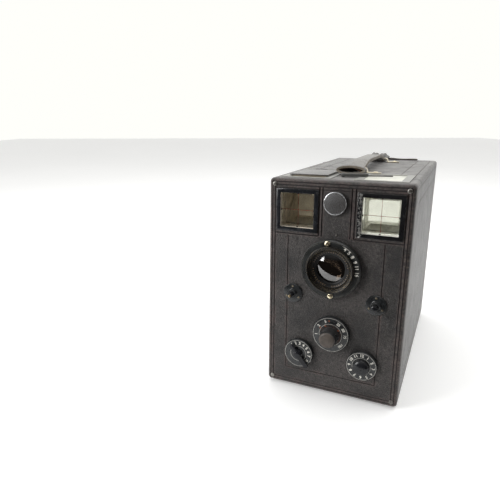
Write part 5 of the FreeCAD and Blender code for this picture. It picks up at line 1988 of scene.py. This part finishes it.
    def build_arm(self) -> None:
        """Flat arm: a thick rounded end on its rivet and a thin blade."""
        pivot = next(Vector(joint["pos_m"]) for joint in frame["joints"] if joint["name"] == "arm_swing")
        base = self.top + 0.8 * MM
        grip = block("top_arm", (-2.3 * MM, -2.3 * MM, 0), (21 * MM, 2.3 * MM, 2.2 * MM))
        with editing(grip):
            pick(grip, "EDGE", lambda middle, way: abs(way.z) > 0.9)
            bpy.ops.mesh.bevel(offset=2.2 * MM, segments=6, affect="EDGES")
        blade = block("blade", (15 * MM, -1.4 * MM, 0), (41 * MM, 1.4 * MM, 1.0 * MM))
        carve(grip, blade, "UNION")
        rivet = turn("rivet", [(1.2, -0.8), (1.2, 2.2), (1.9, 2.22), (1.8, 2.5), (1.2, 2.7), (0.2, 2.7)],
                     sides=32)
        carve(grip, rivet, "UNION")
        soften(grip, 0.3 * MM, 2, 45)
        settle(grip, Matrix.Translation((pivot.x, pivot.y, base)) @ about_z(15))
        hand_over(grip, self.arm_finish, "arm", Slot.GUN, "swing_arm")

    def build_tab(self) -> None:
        """The door's pull strap: a soft band that lies over the rear edge, a little wavy."""
        span = Span.of("door_strap")
        piece = block("door_pull", span.low, span.high)
        with editing(piece):
            for step in range(1, 16):
                bpy.ops.mesh.select_all(action="SELECT")
                where = span.low.x + span.size.x * step / 16
                bpy.ops.mesh.bisect(plane_co=(where, 0, 0), plane_no=(1, 0, 0))
        for point in piece.data.vertices:
            along = (point.co.x - span.low.x) / span.size.x
            if point.co.z > span.middle.z:
                point.co.z += (0.25 * math.sin(along * 9) - 0.35 * along) * MM
            point.co.y += 0.3 * math.sin(along * 6 + 1) * MM - 0.3 * MM
        soften(piece, 0.5 * MM, 3, 50)
        hand_over(piece, self.tab, "door", Slot.STRAP, "door_strap")

    def build(self) -> None:
        """Everything on the top."""
        self.build_strap()
        self.build_torn_lining()
        self.build_bridges()
        self.build_arm()
        self.build_tab()


# ---- carried-over nodes


@dataclass
class Carried:
    """CAD nodes whose shape is right, each with a better finish."""

    finishes: dict[str, Material]

    def build(self) -> None:
        """Put each node's finish in its material slots."""
        for node, finish in self.finishes.items():
            piece = frame["nodes"][node]
            for slot in piece.material_slots:
                slot.material = finish
            LOG.info("%s: carried over in %s", node, finish.name)


# ---- studio


@dataclass
class Studio:
    """Pale floor, soft lights and the camera."""

    place: Vector = field(default_factory=lambda: Vector((0.09251, -0.47903, 0.24366)))
    heading: float = 24.653
    downward: float = 15.784
    roll: float = -0.13
    lens: float = 33.38
    floor_half: float = 3.0
    near_edge: float = 0.235
    sensor: float = 36.0
    aim: Vector = field(default_factory=lambda: Vector((0, 0, 0.1)))

    def build_camera(self) -> None:
        """A plain camera with no shift and no depth of field."""
        data = bpy.data.cameras.new("view")
        data.lens = self.lens
        data.sensor_width = self.sensor
        data.clip_start = 0.01
        camera = bpy.data.objects.new("view", data)
        bpy.context.scene.collection.objects.link(camera)
        turns = ((self.heading, "Z"), (90 - self.downward, "X"), (self.roll, "Z"))
        heading, tilt, roll = (Matrix.Rotation(math.radians(angle), 4, axis) for angle, axis in turns)
        camera.matrix_world = Matrix.Translation(self.place) @ (heading @ tilt) @ roll
        bpy.context.scene.camera = camera

    def build_floor(self) -> None:
        """A wide pale table top, whose near edge lies across the view just short of the camera."""
        bpy.ops.mesh.primitive_grid_add(x_subdivisions=4, y_subdivisions=4, size=self.floor_half * 2)
        floor = named("floor")
        turned = about_z(self.heading)
        ahead = turned @ Vector((0, self.near_edge + self.floor_half, 0))
        settle(floor, Matrix.Translation((self.place.x + ahead.x, self.place.y + ahead.y, 0)) @ turned)
        finish = Finish("pale_floor")
        material, graph, shader = finish.start()
        tone = graph.blend(graph.span(graph.noise(0.4, 3.0), 0.3, 0.7), (0.86, 0.86, 0.855),
                           (0.89, 0.89, 0.885))
        finish.fill(graph, shader, Base_Color=tone, Roughness=0.6, Specular_IOR_Level=0.3,
                    Emission_Color=tone, Emission_Strength=0.24)
        floor.data.materials.append(material)

    def light(self, name: str, spot: Sequence[float], size: Pair, power: float) -> None:
        """A soft rectangular light that looks at the camera's middle.

        Args:
            name: Name of the lamp.
            spot: Where it stands, in metres.
            size: Its width and height in metres.
            power: Its power in watts.
        """
        data = bpy.data.lights.new(name, "AREA")
        data.shape = "RECTANGLE"
        data.size, data.size_y = size
        data.energy = power
        lamp = bpy.data.objects.new(name, data)
        bpy.context.scene.collection.objects.link(lamp)
        lamp.location = spot
        way = self.aim - Vector(spot)
        lamp.rotation_euler = way.to_track_quat("-Z", "Y").to_euler()

    def build_world(self) -> None:
        """White behind the camera's subject, and a dimmer room in front of it."""
        world = bpy.data.worlds.new("room")
        bpy.context.scene.world = world
        world.use_nodes = True
        graph = Graph(world.node_tree)
        graph.tree.nodes.clear()
        way = graph.node("TexCoord").outputs["Generated"]
        parts = graph.node("SeparateXYZ", {0: way})
        behind = graph.span(parts.outputs["Y"], -0.3, 0.3)
        high = graph.span(parts.outputs["Z"], 0.15, 0.85)
        room = graph.blend(high, (0.035, 0.028, 0.024), (0.42, 0.42, 0.42))
        shade = graph.blend(behind, room, (0.95, 0.95, 0.93))
        seen = graph.node("LightPath").outputs["Is Camera Ray"]
        colour = graph.blend(seen, shade, (1.0, 1.0, 0.96))
        surface = graph.node("Background", {"Color": colour, "Strength": 1.0})
        output = graph.node("OutputWorld")
        graph.tree.links.new(surface.outputs[0], output.inputs["Surface"])

    def build(self) -> None:
        """The whole studio."""
        bpy.context.scene.view_settings.view_transform = "Standard"
        self.build_camera()
        self.build_floor()
        self.build_world()
        self.light("window", spot=(-0.92, -0.88, 0.54), size=(0.6, 0.8), power=13.0)
        self.light("overhead", spot=(0.1, 0.25, 1.5), size=(1.6, 1.6), power=16.0)


def build_camera_model() -> None:
    """Build every sub-assembly in order."""
    black = Enamel("black_enamel", colour=(0.006, 0.0065, 0.008), rough=0.16, dusty=0.1).build()
    flange = Enamel("flange_black", colour=(0.012, 0.0135, 0.0135), rough=0.3, under=(0.26, 0.25, 0.22),
                    wear=1.2,
                    level=0.6).build()
    # Darkest black for the aperture ring and cell: blackened metal, darkened further as painted shade in the
    # lens recess
    recess = Enamel("recess_black_painted_shade", colour=(0.0025, 0.0025, 0.0025), rough=0.36, under=(0.5, 0.4, 0.25),
                    wear=3.0,
                    wear_reach=0.00016, dusty=0.02, level=0.3).build()
    dial = Enamel("dial_black", colour=(0.012, 0.0135, 0.0145), rough=0.26, under=(0.3, 0.3, 0.28), dusty=0.1,
                  level=0.5).build()
    nickel = Metal("old_nickel", colour=(0.3, 0.29, 0.27), tarnish=(0.05, 0.045, 0.04), rough=0.32,
                   dulled=0.9).build()
    pale_gold = Metal("pale_gold", colour=(0.9, 0.82, 0.62), tarnish=(0.42, 0.34, 0.2), rough=0.24,
                      dulled=0.4).build()
    small_screw = Metal("small_screw", colour=(0.35, 0.3, 0.22), tarnish=(0.05, 0.045, 0.04), rough=0.3,
                        dulled=1.0).build()
    brass = Metal("aged_brass", colour=(0.38, 0.3, 0.18), tarnish=(0.16, 0.12, 0.07), dulled=0.7,
                  grain=0.0035).build()
    steel = Metal("spring_steel", colour=(0.5, 0.5, 0.5), tarnish=(0.2, 0.17, 0.15)).build()
    tinplate = Enamel("matt_tinplate", colour=(0.015, 0.015, 0.015), rough=0.55,
                      under=(0.2, 0.2, 0.2)).build()
    # Lit and shaded copies of one tinplate: the right finder's tin is painted lit by its open screen,
    # shaded_tin is darker and browner, painted shade under the closed lid
    lit_finder_tin = Enamel("lit_finder_tin", colour=(0.66, 0.65, 0.6), rough=0.3, under=(0.2, 0.17, 0.12),
                        wear=0.5, level=0.6).build()
    shaded_tin = Enamel("shaded_tin", colour=(0.52, 0.47, 0.39), rough=0.35, under=(0.12, 0.09, 0.06),
                        wear=0.6).build()
    timber = Timber("mahogany").build()
    upright = Timber("upright_mahogany", drawn=(1.0, 1.0, 0.07)).build()
    outer = Span.of("front_cover")
    hide = Hide("front_morocco", crack_axis="X", crack_at=outer.high.x - 1.5 * MM, crack_reach=0.005,
                cracked=(0.12, 0.095, 0.08)).build()
    # dusty=0.9 greys every up-facing face: dust, and also a painted sheen of the top
    side_hide = Hide("case_morocco", deep=(0.03, 0.027, 0.026), warm=(0.05, 0.043, 0.04),
                     rubbed=(0.24, 0.2, 0.16),
                     relief=0.00014, rough=0.42, wear=0.5, wear_reach=0.0012, sheen=0.2, level=0.5, dusty=0.9,
                     crack_axis="Y", crack_at=outer.high.y + 1.0 * MM, crack_reach=0.006,
                     cracked=(0.18, 0.15, 0.12)).build()
    # Near-black groove faces: painted shade in the tooled lines; their lighter rubbed lips also paint the
    # lips' highlight
    crease = Enamel("tooled_groove_painted_shade", colour=(0.008, 0.006, 0.006), rough=0.4, under=(0.06, 0.055, 0.05),
                    wear=0.5).build()
    white_fill = Paint("white_fill", colour=(0.78, 0.76, 0.69), amount=0.3).build()
    circle_fill = Paint("circle_fill", colour=(0.42, 0.41, 0.38), worn=(0.12, 0.12, 0.11), amount=0.8).build()
    button = Span.of("push_button").middle
    side_crease = Enamel("side_crease", colour=(0.06, 0.053, 0.046), rough=0.45,
                         under=(0.12, 0.105, 0.09)).build()
    LeatherWork(hide, side_hide, crease, side_crease).build()
    Screws(nickel, pale_gold, small_screw).build()
    right_glass = Span.of("finder_glass_right")
    frames = {
        "left": Enamel("blued_frame", colour=(0.008, 0.009, 0.011), rough=0.22).build(),
        "right": Enamel("chipped_frame", rough=0.14, under=(0.5, 0.5, 0.48), wear=1.1,
                        chips_x=right_glass.low.x - 1.6 * MM).build(),
    }
    # Both screens glow with painted light; the left one is darker and browner, painted shade of the lid over
    # it
    screens = {
        "left": Glazing("shaded_screen_painted_glow", colour=(0.2, 0.17, 0.13), rough=0.5, see_through=0.5,
                        glow=(0.36, 0.31, 0.23), glow_strength=0.42).build(),
        "right": Glazing("lit_screen_painted_glow", colour=(0.62, 0.62, 0.57), rough=0.4, see_through=0.7,
                         glow=(0.9, 0.89, 0.8), glow_strength=0.3).build(),
    }
    red = Paint("red_line", colour=(0.32, 0.015, 0.01), worn=(0.2, 0.03, 0.02), amount=0.3).build()
    # Lighter grey than the case leather: a painted sheen of the lid's top
    sheen_painted_lid_hide = Hide("lid_leather_painted_sheen", deep=(0.06, 0.058, 0.055), warm=(0.1, 0.095, 0.088), cells=700.0,
                    relief=0.0001,
                    wear=0.4, wear_reach=0.0008, rough=0.36, sheen=0.3, level=0.6).build()
    Finders(frames, {"left": shaded_tin, "right": lit_finder_tin}, screens, red, black, sheen_painted_lid_hide).build()
    brown_fill = Paint("brown_fill", colour=(0.2, 0.14, 0.08), worn=(0.03, 0.02, 0.015), amount=0.8).build()
    glass = Glazing("clear_glass").build()
    # Dark amber tint: painted shade that darkens the lens interior and its back reflection
    front_glass = Glazing("front_element_glass_painted_dark", colour=(0.12, 0.085, 0.06), index=2.15, rough=0.0).build()
    LensSet(flange, recess, recess, white_fill, brown_fill, front_glass).build()
    worn_knob = Enamel("worn_knob", colour=(0.012, 0.012, 0.013), rough=0.3, under=(0.1, 0.075, 0.055),
                       wear=1.2,
                       wear_reach=0.0012).build()
    knob_face = Enamel("knob_face", colour=(0.055, 0.045, 0.038), rough=0.42, under=(0.2, 0.15, 0.1),
                       wear=2.0,
                       wear_reach=0.0012, ripple=0.00006).build()
    rust = Paint("rust_ring", colour=(0.1, 0.042, 0.024), worn=(0.01, 0.009, 0.009), amount=1.0,
                 low=0.3).build()
    orange = Paint("orange_spots", colour=(0.24, 0.06, 0.02), worn=(0.08, 0.025, 0.012), amount=0.7).build()
    spun = Spun("spun_gunmetal", centre=(button.x, button.z), colour=(0.44, 0.45, 0.46), rough=0.22).build()
    lever = Enamel("lever_black", colour=(0.0035, 0.004, 0.006), rough=0.12, dusty=0.03).build()
    Controls(black, dial, rust, knob_face, worn_knob, spun, lever, white_fill, circle_fill, orange,
             brass).build()
    Springs(steel).build()
    # Light grey strap leather: its lightness is in part a painted sheen of the strap's top
    strap = Hide("strap_leather", deep=(0.17, 0.16, 0.145), warm=(0.29, 0.275, 0.25),
                 rubbed=(0.34, 0.3, 0.24), cells=520.0,
                 relief=0.0002, rough=0.42, wear=0.8, wear_reach=0.0012, dusty=0.4, sheen=0.2).build()
    loop = Hide("loop_leather", deep=(0.05, 0.043, 0.037), warm=(0.1, 0.09, 0.08),
                rubbed=(0.28, 0.24, 0.19), cells=520.0,
                relief=0.0002, rough=0.42, wear=1.2, wear_reach=0.0014, dusty=0.3, sheen=0.2).build()
    cut_edge = Hide("cut_edge", deep=(0.16, 0.135, 0.105), warm=(0.3, 0.265, 0.215),
                    rubbed=(0.4, 0.35, 0.27), cells=1500.0,
                    relief=0.0001, rough=0.5).build()
    torn = Hide("torn_leather", deep=(0.035, 0.014, 0.007), warm=(0.09, 0.04, 0.02),
                rubbed=(0.16, 0.08, 0.04), cells=1500.0,
                relief=0.0004, rough=0.75, peak=(0.1, 0.05, 0.03)).build()
    tab = Hide("tab_leather", deep=(0.03, 0.014, 0.009), warm=(0.06, 0.026, 0.016),
               rubbed=(0.12, 0.06, 0.035), rough=0.5,
               wear_reach=0.0008).build()
    gun = Enamel("grey_gunmetal", colour=(0.06, 0.06, 0.058), rough=0.34, under=(0.35, 0.34, 0.31)).build()
    cream = Metal("cream_metal", colour=(0.72, 0.66, 0.52), tarnish=(0.5, 0.43, 0.3), rough=0.34,
                  dulled=0.5).build()
    TopFittings(strap, loop, cut_edge, torn, cream, gun, tab).build()
    mirror = Glazing("silvered", colour=(0.8, 0.8, 0.77), rough=0.03, see_through=0.0, metallic=1.0).build()
    bezel = Enamel("pale_bezel", colour=(0.2, 0.2, 0.185), rough=0.3, under=(0.4, 0.4, 0.38),
                   dusty=0.4).build()
    finishes = {node: timber for node in ("case_top", "case_base", "case_left", "case_right")}
    finishes |= {node: upright for node in ("front_board", "rear_door", "magazine_frame")}
    finishes |= {node: brass for node in ("base_bush", "side_bush", "case_hinge", "door_hinge", "lid_pin",
                                          "feet")}
    finishes |= {"changing_lever": steel}
    finishes |= {node: tinplate for node in ("iris_leaves", "shutter_plate", "shutter_disc", "pressure_plate",
                                             "plate_sheaths", "front_sheath")}
    # Finder boxes: painted lit tin on the right, painted shade tin on the left
    finishes |= {"finder_box_left": shaded_tin, "finder_box_right": lit_finder_tin, "finder_mirrors": mirror}
    finishes |= {node: glass for node in ("finder_glass_left", "finder_glass_right", "lens_rear_glass")}
    finishes |= {node: bezel for node in ("finder_bezel_left", "finder_bezel_right")}
    Carried(finishes).build()


def main() -> None:
    """Build the camera and its studio."""
    logging.basicConfig(level=logging.INFO, format="%(message)s")
    for other in list(bpy.context.selected_objects):
        other.select_set(False)
    Studio().build()
    build_camera_model()


if __name__ == "__main__":
    main()
